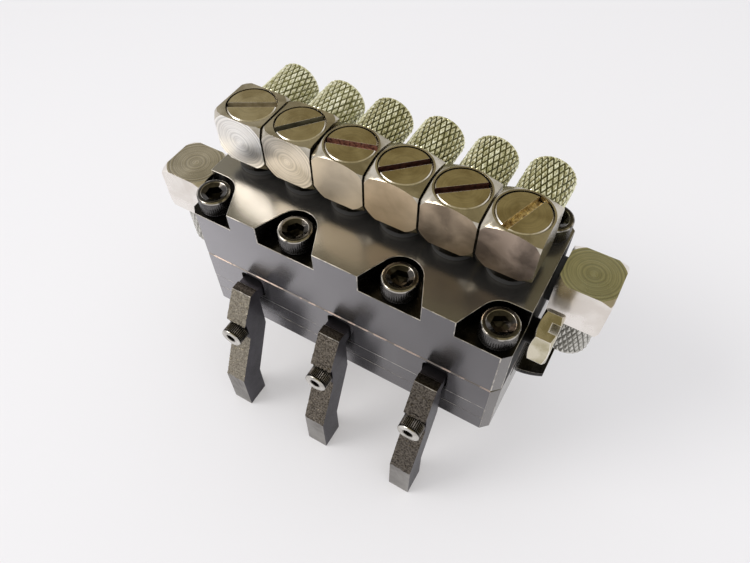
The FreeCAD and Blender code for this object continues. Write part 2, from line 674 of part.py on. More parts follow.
def spool(label, x):
    """Upright spool with two control grooves and a notch for the nose of the lever."""
    body = new_body(label, x=x, y=PORT_Y, z=PIVOT_Z)
    half, r, neck = "spool_length / 2", "spool_size / 2", "spool_neck / 2"
    high = f"({half} - land_length)"
    profile = sketch_on(body, "XZ_Plane", f"{label}_profile")
    outline(profile, [
        ("0", f"-{half}"), (r, f"-{half}"), (r, f"-{high}"), (neck, f"-{high}"),
        (neck, f"-{high} + groove_length"), (r, f"-{high} + groove_length"),
        (r, f"{high} - groove_length"), (neck, f"{high} - groove_length"), (neck, high),
        (r, high), (r, half), ("0", half)])
    turned(body, profile)
    notch = sketch_on(body, "YZ_Plane", f"{label}_notch")
    tall = "(nose_radius + notch_play)"
    deep = "nose_radius - nose_back + 0.3"
    outline(notch, [(f"-{r} - 1", f"-{tall}"), (deep, f"-{tall}"), (deep, tall),
                    (f"-{r} - 1", tall)])
    pocket(body, notch, "spool_size + 2", both_ways=True)
    return body


def lever_sections():
    nodes = []
    for name, x in zip(SECTION_NAMES, SECTIONS):
        nodes.append(tapped_lever(f"lever_{name}", x))
        nodes.append(cap_screw(f"link_screw_{name}", "link_head", "link_head_height",
                               "link_key", "link_key_depth", "link_size", "link_length",
                               x=x, y=LINK_Y, z=LINK_Z, turn=FORWARDS))
        nodes.append(spool(f"spool_{name}", x))
    return nodes


# ---- hose fittings ----
def turned_bevel(body, name, plane, at, radius, axis):
    """Conical bevel that a lathe leaves on a square bar: on the top, or on the end face."""
    wide = "cube_side"
    drop = f"{wide} * tan(cube_bevel)"
    sketch = sketch_on(body, plane, name)
    if axis == "V_Axis":
        outline(sketch, [(radius, at), (f"{radius} + {wide}", at),
                         (f"{radius} + {wide}", f"{at} - {drop}")])
    else:
        outline(sketch, [(f"-{at}", radius), (f"-{at}", f"{radius} + {wide}"),
                         (f"-{at} + {drop}", f"{radius} + {wide}")])
    turned(body, sketch, axis, cut=True)


def fitting(label, square_top, with_boss, **place):
    """Elbow fitting turned from square bar; origin in its middle, nut side to +Y, head to +Z."""
    body = new_body(label, **place)
    bar = sketch_on(body, "XZ_Plane", f"{label}_bar")
    outline(bar, [(f"-{HALF}", f"-{HALF}"), (HALF, f"-{HALF}"), (HALF, HALF), (f"-{HALF}", HALF)])
    pad(body, bar, "cube_side", both_ways=True)
    if with_boss:
        boss = sketch_on(body, "XY_Plane", f"{label}_boss", f"-{HALF} - boss_height")
        circle(boss, "0", "0", "boss_size / 2")
        pad(body, boss, "boss_height + 0.5")
    top_radius = "square_radius" if square_top else HALF
    turned_bevel(body, f"{label}_top_bevel", "XZ_Plane", HALF, top_radius, "V_Axis")
    turned_bevel(body, f"{label}_end_bevel", "YZ_Plane", HALF, "face_radius", "H_Axis")
    spigot = sketch_on(body, "YZ_Plane", f"{label}_spigot")
    r, n = "spigot_size / 2", "nipple_size / 2"
    root, step, end = f"{HALF} - 0.5", f"{HALF} + spigot_length", f"{HALF} + nipple_length"
    outline(spigot, [(root, "0"), (root, r), (f"{step} - 0.4", r), (step, f"{r} - 0.4"),
                     (step, n), (f"{end} - nipple_bevel", n), (end, f"{n} - nipple_bevel"),
                     (end, "0")])
    turned(body, spigot, "H_Axis")
    way = sketch_on(body, "YZ_Plane", f"{label}_oil_way")
    outline(way, [("0", "0"), ("0", "nipple_bore / 2"), (f"{end} + 1", "nipple_bore / 2"),
                  (f"{end} + 1", "0")])
    turned(body, way, "H_Axis", cut=True)
    drill(body, f"{label}_recess", [("0", "0")], "recess_size / 2", HALF, "head_thick")
    drill(body, f"{label}_eye", [("0", "0")], "banjo_size / 2 + washer_play", HALF,
          "cube_side + boss_height + 1")
    return body


def banjo_screw(label, below, slot_angle=0.0, **place):
    """Slotted hollow screw; origin at the middle of its head's outer face, Z out of the head."""
    body = new_body(label, **place)
    profile = sketch_on(body, "XZ_Plane", f"{label}_profile")
    r = "banjo_size / 2"
    length = f"(cube_side + washer_thick + {below} + port_depth - banjo_end_gap)"
    outline(profile, [
        ("0", f"-{length} + 2"), ("banjo_bore / 2", f"-{length} + 2"),
        ("banjo_bore / 2", f"-{length}"), (f"{r} - 0.3", f"-{length}"),
        (r, f"-{length} + 0.3"), (r, "-head_thick"), ("head_size / 2", "-head_thick"),
        ("head_size / 2", "-0.15"), ("head_size / 2 - 0.15", "0"), ("0", "0")])
    turned(body, profile)
    slot = sketch_on(body, "XY_Plane", f"{label}_slot")
    slot.AttachmentOffset = FreeCAD.Placement(V(), FreeCAD.Rotation(V(0, 0, 1), slot_angle))
    far, wide = "head_size", "head_slot / 2"
    outline(slot, [(f"-{far}", f"-{wide}"), (far, f"-{wide}"), (far, wide), (f"-{far}", wide)])
    pocket(body, slot, "head_slot_depth")
    return body


def washer(label, **place):
    """Flat seal washer; origin at the middle of its face to the fitting, body below it."""
    body = new_body(label, **place)
    profile = sketch_on(body, "XZ_Plane", f"{label}_profile")
    inner, outer = "banjo_size / 2 + washer_play", "washer_size / 2"
    outline(profile, [(inner, "-washer_thick"), (outer, "-washer_thick"), (outer, "0"),
                      (inner, "0")])
    turned(body, profile)
    return body


def hose_nut(label, **place):
    """Nut that clamps the hose; origin in the middle of its fitting, nut along +Y."""
    body = new_body(label, **place)
    profile = sketch_on(body, "YZ_Plane", f"{label}_profile")
    near, far = f"{HALF} + nut_gap", f"{HALF} + nut_gap + nut_length"
    r, thread, hose = "nut_size / 2", "spigot_size / 2 + nut_play", "hose_hole / 2"
    outline(profile, [
        (near, thread), (near, f"{r} - nut_rim"), (f"{near} + nut_rim", r),
        (f"{far} - nut_rim", r), (far, f"{r} - nut_rim"), (far, f"{hose} + 0.3"),
        (f"{far} - 0.3", hose), (f"{far} - nut_wall", hose),
        (f"{far} - nut_wall - {thread} + {hose}", thread)])
    turned(body, profile, "H_Axis")
    return body


def frame_of(x_axis, y_axis, z_axis):
    """Rotation whose own axes point along the three given directions."""
    matrix = FreeCAD.Matrix(x_axis.x, y_axis.x, z_axis.x, 0, x_axis.y, y_axis.y, z_axis.y, 0,
                            x_axis.z, y_axis.z, z_axis.z, 0, 0, 0, 0, 1)
    return FreeCAD.Rotation(matrix)


LEFT_END = frame_of(V(0, 1, 0), V(0, 0, -1), V(-1, 0, 0))
RIGHT_END = frame_of(V(0, -1, 0), V(0, 0, -1), V(1, 0, 0))


def port_row():
    """Six fittings along the top, with their screws, washers and nuts."""
    nodes, screws, washers = [], [], []
    foot = f"{TOP} + washer_thick"
    middle = f"{foot} + boss_height + {HALF}"
    for i, x in enumerate(PORTS):
        number_ = i + 1
        nodes.append(fitting(f"port_fitting_{number_}", SQUARE_TOPS[i], True,
                             x=x, y=PORT_Y, z=middle))
        nodes.append(hose_nut(f"hose_nut_{number_}", x=x, y=PORT_Y, z=middle))
        screws.append(banjo_screw(f"port_screw_{number_}", "boss_height", SLOT_ANGLES[i],
                                  x=x, y=PORT_Y, z=f"{middle} + {HALF}"))
        washers.append(washer(f"port_washer_{number_}", x=x, y=PORT_Y, z=foot))
    nodes.append(group("port_banjo_screws", screws))
    nodes.append(group("port_seal_washers", washers))
    return nodes


def end_fittings():
    """The tank fitting on the left end and the pressure fitting on the right end."""
    nodes, screws, washers = [], [], []
    rows = (("left", -1, TANK_AXIS, LEFT_END), ("right", 1, PRESSURE_AXIS, RIGHT_END))
    for name, side, (y, z), turn in rows:
        foot = f"{side} * ({END} + washer_thick)"
        middle = f"{side} * ({END} + washer_thick + {HALF})"
        outer = f"{side} * ({END} + washer_thick + cube_side)"
        nodes.append(fitting(f"end_fitting_{name}", True, False, x=middle, y=y, z=z, turn=turn))
        nodes.append(hose_nut(f"end_hose_nut_{name}", x=middle, y=y, z=z, turn=turn))
        screws.append(banjo_screw(f"end_screw_{name}", "0", 35.0, x=outer, y=y, z=z, turn=turn))
        washers.append(washer(f"end_washer_{name}", x=foot, y=y, z=z, turn=turn))
    nodes.append(group("end_banjo_screws", screws))
    nodes.append(group("end_seal_washers", washers))
    return nodes


# ---- relief valve ----
def relief_screw():
    """Hexagon adjuster; origin on the end face of the block, head along +Z of its own frame."""
    turn = frame_of(V(0, 1, 0), V(0, 0, 1), V(1, 0, 0))
    body = new_body("relief_screw", x=END, y=TANK_AXIS[0], z=TANK_AXIS[1], turn=turn)
    head = sketch_on(body, "XY_Plane", "relief_hexagon", "relief_gap")
    head.AttachmentOffset = FreeCAD.Placement(
        V(0, 0, number("relief_gap")), FreeCAD.Rotation(V(0, 0, 1), number("relief_turn")))
    hexagon(head, "relief_flats")
    pad(body, head, "relief_head")
    inner, outer = "relief_flats / 2 - 0.1", "relief_flats"
    rise = f"({outer} - relief_flats / 2 + 0.1) * tan(30)"
    near, far = "relief_gap", "relief_gap + relief_head"
    for name, level, way in (("relief_inner_bevel", near, 1), ("relief_outer_bevel", far, -1)):
        rim = sketch_on(body, "XZ_Plane", name)
        outline(rim, [(inner, level), (outer, level), (outer, f"{level} + {way} * {rise}")])
        turned(body, rim, cut=True)
    shank = sketch_on(body, "XY_Plane", "relief_shank", "-relief_thread")
    circle(shank, "0", "0", "relief_size / 2 - 0.05")
    pad(body, shank, "relief_thread + relief_gap + 0.5")
    slot = sketch_on(body, "XY_Plane", "relief_slot_plan", far)
    slot.AttachmentOffset = FreeCAD.Placement(
        V(0, 0, number(far)), FreeCAD.Rotation(V(0, 0, 1), number("relief_turn")))
    tall, wide = "relief_flats", "relief_slot / 2"
    outline(slot, [(f"-{wide}", f"-{tall}"), (wide, f"-{tall}"), (wide, tall), (f"-{wide}", tall)])
    pocket(body, slot, "relief_slot_depth")
    return body


def relief_inside():
    """Spring and ball that the adjuster loads against the gallery."""
    y, z = TANK_AXIS
    spring = new_body("relief_spring", x=f"{END} - relief_thread - spring_length - spring_wire",
                      y=y, z=z, turn=ALONG_X)
    wire = sketch_on(spring, "XZ_Plane", "spring_wire_section")
    circle(wire, "(spring_size - spring_wire) / 2", "spring_wire / 2", "spring_wire / 2")
    coil = spring.newObject("PartDesign::AdditiveHelix", "relief_coil")
    coil.Profile = wire
    coil.ReferenceAxis = (wire, ["V_Axis"])
    coil.Mode = "pitch-height-angle"
    bind(coil, Pitch="spring_pitch", Height="spring_length - spring_wire")
    doc.recompute()
    ball = doc.addObject("Part::Sphere", "relief_ball")
    ball.Label = "relief_ball"
    bind(ball, Radius="ball_size / 2")
    ball.setExpression("Placement.Base.x", sized(
        f"{END} - relief_thread - spring_length - spring_wire - ball_size / 2"))
    ball.setExpression("Placement.Base.y", sized(y))
    ball.setExpression("Placement.Base.z", sized(z))
    doc.recompute()
    return [spring, ball]


def build():
    nodes = [upper_body(), middle_plate(), lower_plate(), base_plate()]
    nodes += bolts()
    nodes += pins()
    nodes.append(spool_seals())
    nodes += lever_sections()
    nodes += port_row()
    nodes += end_fittings()
    nodes.append(relief_screw())
    nodes += relief_inside()
    return nodes


def check_and_write(nodes):
    """Stops at any failed object or bad shape, then writes one file for each node."""
    doc.recompute()
    for thing in doc.Objects:
        if "Invalid" in thing.State or "Error" in thing.State:
            raise RuntimeError(f"{thing.Label} failed: {thing.State}")
    for node in nodes:
        shape = node.Shape
        if shape.isNull() or not shape.isValid() or not shape.Solids:
            raise RuntimeError(f"{node.Label} has no valid solid")
    for node in nodes:
        node.Shape.exportStep(f"parts/{node.Label}.step")
        print(f"{node.Label:22s} solids {len(node.Shape.Solids)} volume {node.Shape.Volume:9.2f}")


check_and_write(build())
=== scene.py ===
import logging
import math
from collections.abc import Callable
from dataclasses import dataclass, field
from enum import Enum
from functools import partial

import bmesh
import bpy
from mathutils import Matrix, Vector, noise


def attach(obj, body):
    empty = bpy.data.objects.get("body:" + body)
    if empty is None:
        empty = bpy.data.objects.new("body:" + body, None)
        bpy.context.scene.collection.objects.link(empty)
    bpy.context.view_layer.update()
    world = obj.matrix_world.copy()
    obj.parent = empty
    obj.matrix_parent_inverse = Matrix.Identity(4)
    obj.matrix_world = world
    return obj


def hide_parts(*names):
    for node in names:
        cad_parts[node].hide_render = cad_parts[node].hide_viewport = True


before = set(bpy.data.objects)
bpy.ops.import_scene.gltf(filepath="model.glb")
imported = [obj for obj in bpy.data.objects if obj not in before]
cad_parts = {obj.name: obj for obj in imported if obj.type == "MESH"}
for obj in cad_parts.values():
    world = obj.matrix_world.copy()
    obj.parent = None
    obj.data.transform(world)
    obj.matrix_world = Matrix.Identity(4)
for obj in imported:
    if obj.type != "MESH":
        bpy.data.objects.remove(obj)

BMesh = bmesh.types.BMesh
Material = bpy.types.Material
Node = bpy.types.Node
Socket = bpy.types.NodeSocket
Tree = bpy.types.NodeTree

log = logging.getLogger("directional_valve")

MM = 0.001
# slack in millimetres for telling where a face or an edge lies
NEAR = 0.01
VALVE_BODY = "valve_block"
# edges that turn by more degrees can be broken
SHARP_DEGREES = 20.0
# half the length of the block
HALF_LENGTH = 27.2
# y and z of the return fitting on the left end, and of the relief adjuster on the right end
RETURN_YZ = (-4.0, 20.0)
# y and z of the supply fitting on the right end
SUPPLY_YZ = (5.35, 21.25)
X_AXIS, Y_AXIS, Z_AXIS = Vector((1, 0, 0)), Vector((0, 1, 0)), Vector((0, 0, 1))


# small helpers
def linear(hex_colour: str) -> tuple[float, float, float, float]:
    """Turns an sRGB hex colour into linear RGBA.

    Args:
        hex_colour: six hex digits with a leading hash.

    Returns:
        The linear colour with full opacity.
    """
    parts = [int(hex_colour[i:i + 2], 16) / 255 for i in (1, 3, 5)]
    red, green, blue = (p / 12.92 if p <= 0.04045 else ((p + 0.055) / 1.055) ** 2.4 for p in parts)
    return red, green, blue, 1.0


def fill(node: Node, inputs: dict) -> None:
    """Sets or links inputs of a node.

    Args:
        node: node that gets them.
        inputs: a value, an output, or a node for its first output, by name or number of the input.
    """
    for key, value in inputs.items():
        if isinstance(value, Node):
            value = value.outputs[0]
        if isinstance(value, Socket):
            node.id_data.links.new(value, node.inputs[key])
        else:
            node.inputs[key].default_value = value


def add_node(tree: Tree, kind: str, inputs: dict | None = None,
             stops: tuple[tuple[float, str], ...] = (), **settings: object) -> Node:
    """Adds a node, sets its properties and fills its inputs.

    Args:
        tree: node tree that gets the node.
        kind: class name of the node, without ShaderNode.
        inputs: what fill sets.
        stops: position and sRGB hex colour of each stop, for a colour ramp.
        **settings: properties of the node.

    Returns:
        The new node.
    """
    node = tree.nodes.new(f"ShaderNode{kind}")
    for name, value in settings.items():
        setattr(node, name, value)
    fill(node, inputs or {})
    if stops:
        elements = node.color_ramp.elements
        while len(elements) < len(stops):
            elements.new(0.5)
        for element, (position, colour) in zip(elements, stops):
            element.position = position
            element.color = linear(colour)
    return node


def new_metal(name: str) -> tuple[Material, Tree, Node, Socket]:
    """Starts a material whose shader is a metal.

    Args:
        name: name of the material.

    Returns:
        The material, its node tree, its shader and the place in the valve that patterns follow.
    """
    material = bpy.data.materials.new(name)
    material.use_nodes = True
    tree = material.node_tree
    shader = tree.nodes["Principled BSDF"]
    fill(shader, {"Metallic": 1.0})
    return material, tree, shader, add_node(tree, "TexCoord").outputs["Object"]


def placed(origin: tuple[float, float, float], x_axis: Vector, y_axis: Vector,
           z_axis: Vector) -> Matrix:
    """Matrix that puts a piece drawn in millimetres at its place in the valve, in metres."""
    turn = Matrix((x_axis, y_axis, z_axis)).transposed().to_4x4()
    return Matrix.Translation(Vector(origin) * MM) @ turn @ Matrix.Scale(MM, 4)


def mark_edges(mesh: BMesh, limit: float) -> None:
    """Smooths all faces and keeps the sharper edges sharp.

    Args:
        mesh: mesh to mark.
        limit: edges that turn by more degrees stay sharp.
    """
    for face in mesh.faces:
        face.smooth = True
    for edge in mesh.edges:
        edge.smooth = not (edge.is_manifold and edge.calc_face_angle(0.0) > math.radians(limit))


def finish_piece(name: str, mesh: BMesh, finishes: list[Material], body: str,
                 node: str, limit: float = 32.0, weighted: bool = False,
                 place: Matrix | None = None) -> None:
    """Turns a bmesh into a dressed piece that rides on its body.

    Args:
        name: name of the piece.
        mesh: finished geometry; it is freed here.
        finishes: materials in the order of the faces' material numbers.
        body: body that the piece moves with.
        node: solid that the piece stands for.
        limit: edges that turn by more degrees stay sharp.
        weighted: whether broad faces pull the shading of their broken edges.
        place: brings geometry in millimetres to its place in metres.
    """
    if place is not None:
        bmesh.ops.transform(mesh, matrix=place, verts=mesh.verts[:])
    mark_edges(mesh, limit)
    data = bpy.data.meshes.new(name)
    mesh.to_mesh(data)
    mesh.free()
    for finish in finishes:
        data.materials.append(finish)
    piece = bpy.data.objects.new(name, data)
    bpy.context.scene.collection.objects.link(piece)
    if weighted:
        flats = piece.modifiers.new("flat_faces", "WEIGHTED_NORMAL")
        flats.mode = "FACE_AREA"
        flats.keep_sharp = True
    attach(piece, body)
    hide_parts(node)
    log.info("%s: %d faces on %s", name, len(data.polygons), body)


def dress(node: str, finish: Material) -> None:
    """Gives a solid of the model a new material.

    Args:
        node: solid that keeps its shape.
        finish: its material.
    """
    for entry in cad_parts[node].material_slots:
        entry.material = finish
    log.info("%s keeps its solid, in %s", node, finish.name)


def copied(node: str) -> BMesh:
    """Copy of a solid of the model, with its triangles joined to whole faces.

    Args:
        node: solid to copy.

    Returns:
        The copy, in metres.
    """
    mesh = bmesh.new()
    mesh.from_mesh(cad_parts[node].data)
    bmesh.ops.remove_doubles(mesh, verts=mesh.verts[:], dist=2e-7)
    bmesh.ops.dissolve_limit(mesh, angle_limit=math.radians(0.5), verts=mesh.verts[:],
                             edges=mesh.edges[:])
    for face in mesh.faces:
        face.material_index = 0
    return mesh


def break_edges(mesh: BMesh, width: float, edge_finish: int,
                wanted: Callable[[Vector], bool]) -> None:
    """Breaks sharp edges and gives the new faces a finish of their own.

    Args:
        mesh: mesh in metres.
        width: width of the broken edge in millimetres.
        edge_finish: material number of the new faces, bright with wear and painted highlight.
        wanted: says for the middle of an edge, in millimetres, whether it is broken.
    """
    sharp = [e for e in mesh.edges
             if e.is_manifold and e.calc_face_angle(0.0) > math.radians(SHARP_DEGREES)
             and wanted((e.verts[0].co + e.verts[1].co) / 2 / MM)]
    broken = bmesh.ops.bevel(mesh, geom=sharp, offset=width * MM, segments=2, affect="EDGES",
                             profile=0.5, material=-1, clamp_overlap=True, loop_slide=True)
    for face in broken["faces"]:
        face.material_index = edge_finish


def spun(profile: list[tuple[float, float]], steps: int, closed: bool = True) -> BMesh:
    """Turns a profile about the Z axis.

    Args:
        profile: radius and height of each corner, in millimetres.
        steps: segments round the axis.
        closed: whether the last corner joins the first.

    Returns:
        The turned shell, in millimetres.
    """
    mesh = bmesh.new()
    corners = [mesh.verts.new((radius, 0.0, height)) for radius, height in profile]
    edges = [mesh.edges.new(pair) for pair in zip(corners, corners[1:])]
    if closed:
        edges.append(mesh.edges.new((corners[-1], corners[0])))
    bmesh.ops.spin(mesh, geom=corners + edges, cent=(0, 0, 0), axis=(0, 0, 1), dvec=(0, 0, 0),
                   angle=math.tau, steps=steps, use_merge=True, use_duplicate=False)
    bmesh.ops.remove_doubles(mesh, verts=mesh.verts[:], dist=1e-5)
    bmesh.ops.recalc_face_normals(mesh, faces=mesh.faces[:])
    return mesh


# finishes
@dataclass(frozen=True)
class BlackOxideSteel:
    """Black oxide on ground steel: a dark mirror, blurred by fine slanted grinding marks."""

    # painted light: each pair runs from the lit left end to the shaded right end, and the front
    # faces have a darker pair
    top_lit_left: str = "#a4a19c"
    top_shaded_right: str = "#8a8782"
    front_lit_left: str = "#a3a1a4"
    front_shaded_right: str = "#6c6a6c"
    roughness: float = 0.2
    top_roughness: float = 0.225
    mark_mm: float = 0.14
    mark_run_mm: float = 2.6
    mark_rise_mm: float = 0.6
    slant: float = 38.0
    mark_depth_mm: float = 0.006
    stain_mm: float = 7.0

    def build(self, name: str) -> Material:
        """Makes the material.

        Args:
            name: name of the material.

        Returns:
            Black oxide steel with slanted grinding marks and faint stains.
        """
        material, tree, shader, place = new_metal(name)
        # real grinding marks are a few microns wide; they are drawn at 0.14 mm so that they show
        turned = add_node(tree, "Mapping", {
            "Vector": place, "Rotation": (0.0, 0.0, math.radians(self.slant))})
        drawn_out = add_node(tree, "Mapping", {
            "Vector": turned, "Scale": (
                1 / (self.mark_mm * MM), 1 / (self.mark_run_mm * MM),
                1 / (self.mark_rise_mm * MM))})
        marks = add_node(tree, "TexNoise", {"Vector": drawn_out, "Scale": 1.0, "Detail": 3.0})
        stain = add_node(tree, "TexNoise", {
            "Vector": place, "Scale": 1 / (self.stain_mm * MM), "Detail": 5.0,
            "Roughness": 0.6})
        mixed = add_node(tree, "Math", {0: marks, 1: 0.5, 2: stain}, operation="MULTIPLY_ADD")
        facing = add_node(tree, "SeparateXYZ", {
            0: add_node(tree, "TexCoord").outputs["Normal"]})
        rough = add_node(tree, "MapRange", {
            "Value": stain, "From Min": 0.3, "From Max": 0.7,
            "To Min": self.roughness + 0.05, "To Max": self.roughness - 0.02})
        upward = add_node(tree, "MapRange", {
            "Value": facing.outputs["Z"], "From Min": 0.5, "From Max": 0.9,
            "To Max": self.top_roughness - self.roughness})
        # a little of the oxide is dull, which keeps the dark faces from going black
        fill(shader, {
            "Base Color": self._oxide_with_painted_light(tree, place, mixed, facing.outputs["Y"]),
            "Metallic": 0.94,
            "Roughness": add_node(tree, "Math", {0: rough, 1: upward}),
            "Normal": add_node(tree, "Bump", {
                "Height": marks, "Distance": self.mark_depth_mm * MM})})
        return material

    def _oxide_with_painted_light(self, tree: Tree, place: Socket, stain: Node, facing_y: Socket) -> Socket:
        """Colours the oxide with painted light: lighter towards the left end of the block and
        darker towards the right, with a darker pair of shades on the front faces.

        Args:
            tree: node tree that gets the nodes.
            place: place in the valve.
            stain: pattern of the stains and marks.
            facing_y: how far the surface faces backwards.

        Returns:
            Colour of the surface: one pair of shades on the front, another elsewhere.
        """
        along = add_node(tree, "SeparateXYZ", {0: place})
        # painted light: the tone follows the place along the block, lit at the left end
        share = add_node(tree, "MapRange", {
            "Value": along.outputs["X"], "From Min": -HALF_LENGTH * MM,
            "From Max": HALF_LENGTH * MM})
        stains_and_painted_light = add_node(tree, "Math", {0: stain, 1: 0.3, 2: share}, operation="MULTIPLY_ADD")
        top, front = (
            add_node(tree, "ValToRGB", {"Fac": stains_and_painted_light}, stops=((0.2, left), (1.05, right)))
            for left, right in ((self.top_lit_left, self.top_shaded_right),
                                (self.front_lit_left, self.front_shaded_right)))
        forward = add_node(tree, "MapRange", {
            "Value": facing_y, "From Min": -0.5, "From Max": -0.9})
        return add_node(tree, "Mix", {0: forward, 6: top, 7: front}, data_type="RGBA").outputs[2]


@dataclass(frozen=True)
class RubbedEdgeAndHighlight:
    """Edge rubbed through its coating and painted with a highlight: a thin bright line that breaks
    off here and there.
    """

    bright: str
    coat: str
    patch_mm: float
    cover: float
    roughness: float = 0.3

    def build(self, name: str) -> Material:
        """Makes the material.

        Args:
            name: name of the material.

        Returns:
            Bare metal in patches, with the coating between them.
        """
        material, tree, shader, place = new_metal(name)
        patch = add_node(tree, "TexNoise", {
            "Vector": place, "Scale": 1 / (self.patch_mm * MM), "Detail": 4.0})
        colour = add_node(tree, "ValToRGB", {"Fac": patch}, stops=(
            (0.62 - 0.3 * self.cover, self.coat), (0.7 - 0.3 * self.cover, self.bright)))
        fill(shader, {"Base Color": colour, "Roughness": self.roughness})
        return material


@dataclass(frozen=True)
class NickelPlatedBrass:
    """Nickel over machined brass: a warm grey mirror, clouded by smears, ringed where turned."""

    body: str = "#cfc8ba"
    cloud: str = "#aba391"
    roughness: float = 0.2
    cloud_mm: float = 3.0
    ring_mm: float = 0.34
    ring_depth_mm: float = 0.0
    turned_sheen: float = 0.0
    pip_mm: float = 0.0
    grain_mm: float = 0.22
    grain_depth_mm: float = 0.004

    def build(self, name: str, centre: Vector, axis: Vector) -> Material:
        """Makes the material.

        Args:
            name: name of the material.
            centre: point on the lathe's axis, in metres.
            axis: direction of the lathe's axis.

        Returns:
            Nickel with smears, and with rings and a centre mark about the axis.
        """
        material, tree, shader, place = new_metal(name)
        smear = add_node(tree, "TexNoise", {
            "Vector": place, "Scale": 1 / (self.cloud_mm * MM), "Detail": 4.0, "Roughness": 0.5,
            "Distortion": 0.3})
        colour = add_node(tree, "ValToRGB", {"Fac": smear},
                          stops=((0.38, self.cloud), (0.6, self.body)))
        rough = add_node(tree, "MapRange", {
            "Value": smear, "From Min": 0.3, "From Max": 0.7,
            "To Min": self.roughness + 0.05, "To Max": self.roughness - 0.01})
        from_centre = add_node(tree, "VectorMath", {0: place, 1: centre}, operation="SUBTRACT")
        round_axis = add_node(tree, "VectorMath", {0: from_centre, 1: axis},
                              operation="CROSS_PRODUCT")
        reach = add_node(tree, "VectorMath", {0: round_axis}, operation="LENGTH").outputs["Value"]
        steps = add_node(tree, "Math", {0: reach, 1: 1 / (self.ring_mm * MM)},
                         operation="MULTIPLY")
        rings = add_node(tree, "TexNoise", {"W": steps, "Scale": 1.0, "Detail": 1.0},
                         noise_dimensions="1D")
        # painted shade: each ring's valley is drawn a little darker than its crest
        ring_valley_shade = add_node(tree, "MapRange", {
            "Value": rings, "From Min": 0.35, "From Max": 0.6,
            "To Min": 1.0 - min(0.3, self.ring_depth_mm * 18)})
        shaded = add_node(tree, "Mix", {0: 1.0, 6: colour, 7: ring_valley_shade}, data_type="RGBA",
                          blend_type="MULTIPLY")
        fine = add_node(tree, "TexNoise", {
            "Vector": place, "Scale": 1 / (self.grain_mm * MM), "Detail": 2.0})
        pip = add_node(tree, "MapRange", {
            "Value": reach, "From Max": max(self.pip_mm, NEAR) * MM,
            "To Min": 4.0 if self.pip_mm else 0.0, "To Max": 0.0})
        lines = add_node(tree, "Math", {0: rings, 1: self.ring_depth_mm / self.grain_depth_mm,
                                        2: pip}, operation="MULTIPLY_ADD")
        both = add_node(tree, "Math", {0: fine, 1: 0.3, 2: lines}, operation="MULTIPLY_ADD")
        fill(shader, {
            "Base Color": shaded.outputs[2], "Roughness": rough,
            "Normal": add_node(tree, "Bump", {
                "Height": both, "Distance": self.grain_depth_mm * MM})})
        if self.turned_sheen:
            # the turning marks scatter light across themselves, outwards from the centre
            outward = add_node(tree, "VectorMath", {0: axis, 1: round_axis},
                               operation="CROSS_PRODUCT")
            fill(shader, {"Anisotropic": self.turned_sheen, "Tangent": outward})
        return material


@dataclass(frozen=True)
class PlainFinish:
    """One of the plainer metals and rubbers: a mottle between two colours and a fine grain."""

    body: str
    shade: str
    metallic: float
    roughness: float
    grain_mm: float
    grain_depth_mm: float = 0.004
    mottle_mm: float = 2.0
    gloss: float = 0.5

    def build(self, name: str) -> Material:
        """Makes the material.

        Args:
            name: name of the material.

        Returns:
            A mottled material with a fine grain.
        """
        material, tree, shader, place = new_metal(name)
        mottle = add_node(tree, "TexNoise", {
            "Vector": place, "Scale": 1 / (self.mottle_mm * MM), "Detail": 5.0, "Roughness": 0.6})
        colour = add_node(tree, "ValToRGB", {"Fac": mottle},
                          stops=((0.36, self.shade), (0.62, self.body)))
        grain = add_node(tree, "TexNoise", {
            "Vector": place, "Scale": 1 / (self.grain_mm * MM), "Detail": 3.0})
        rough = add_node(tree, "MapRange", {
            "Value": grain, "From Min": 0.3, "From Max": 0.7,
            "To Min": self.roughness - 0.04, "To Max": self.roughness + 0.05})
        fill(shader, {
            "Base Color": colour, "Metallic": self.metallic, "Roughness": rough,
            "Specular IOR Level": self.gloss, "Normal": add_node(tree, "Bump", {
                "Height": grain, "Distance": self.grain_depth_mm * MM})})
        return material


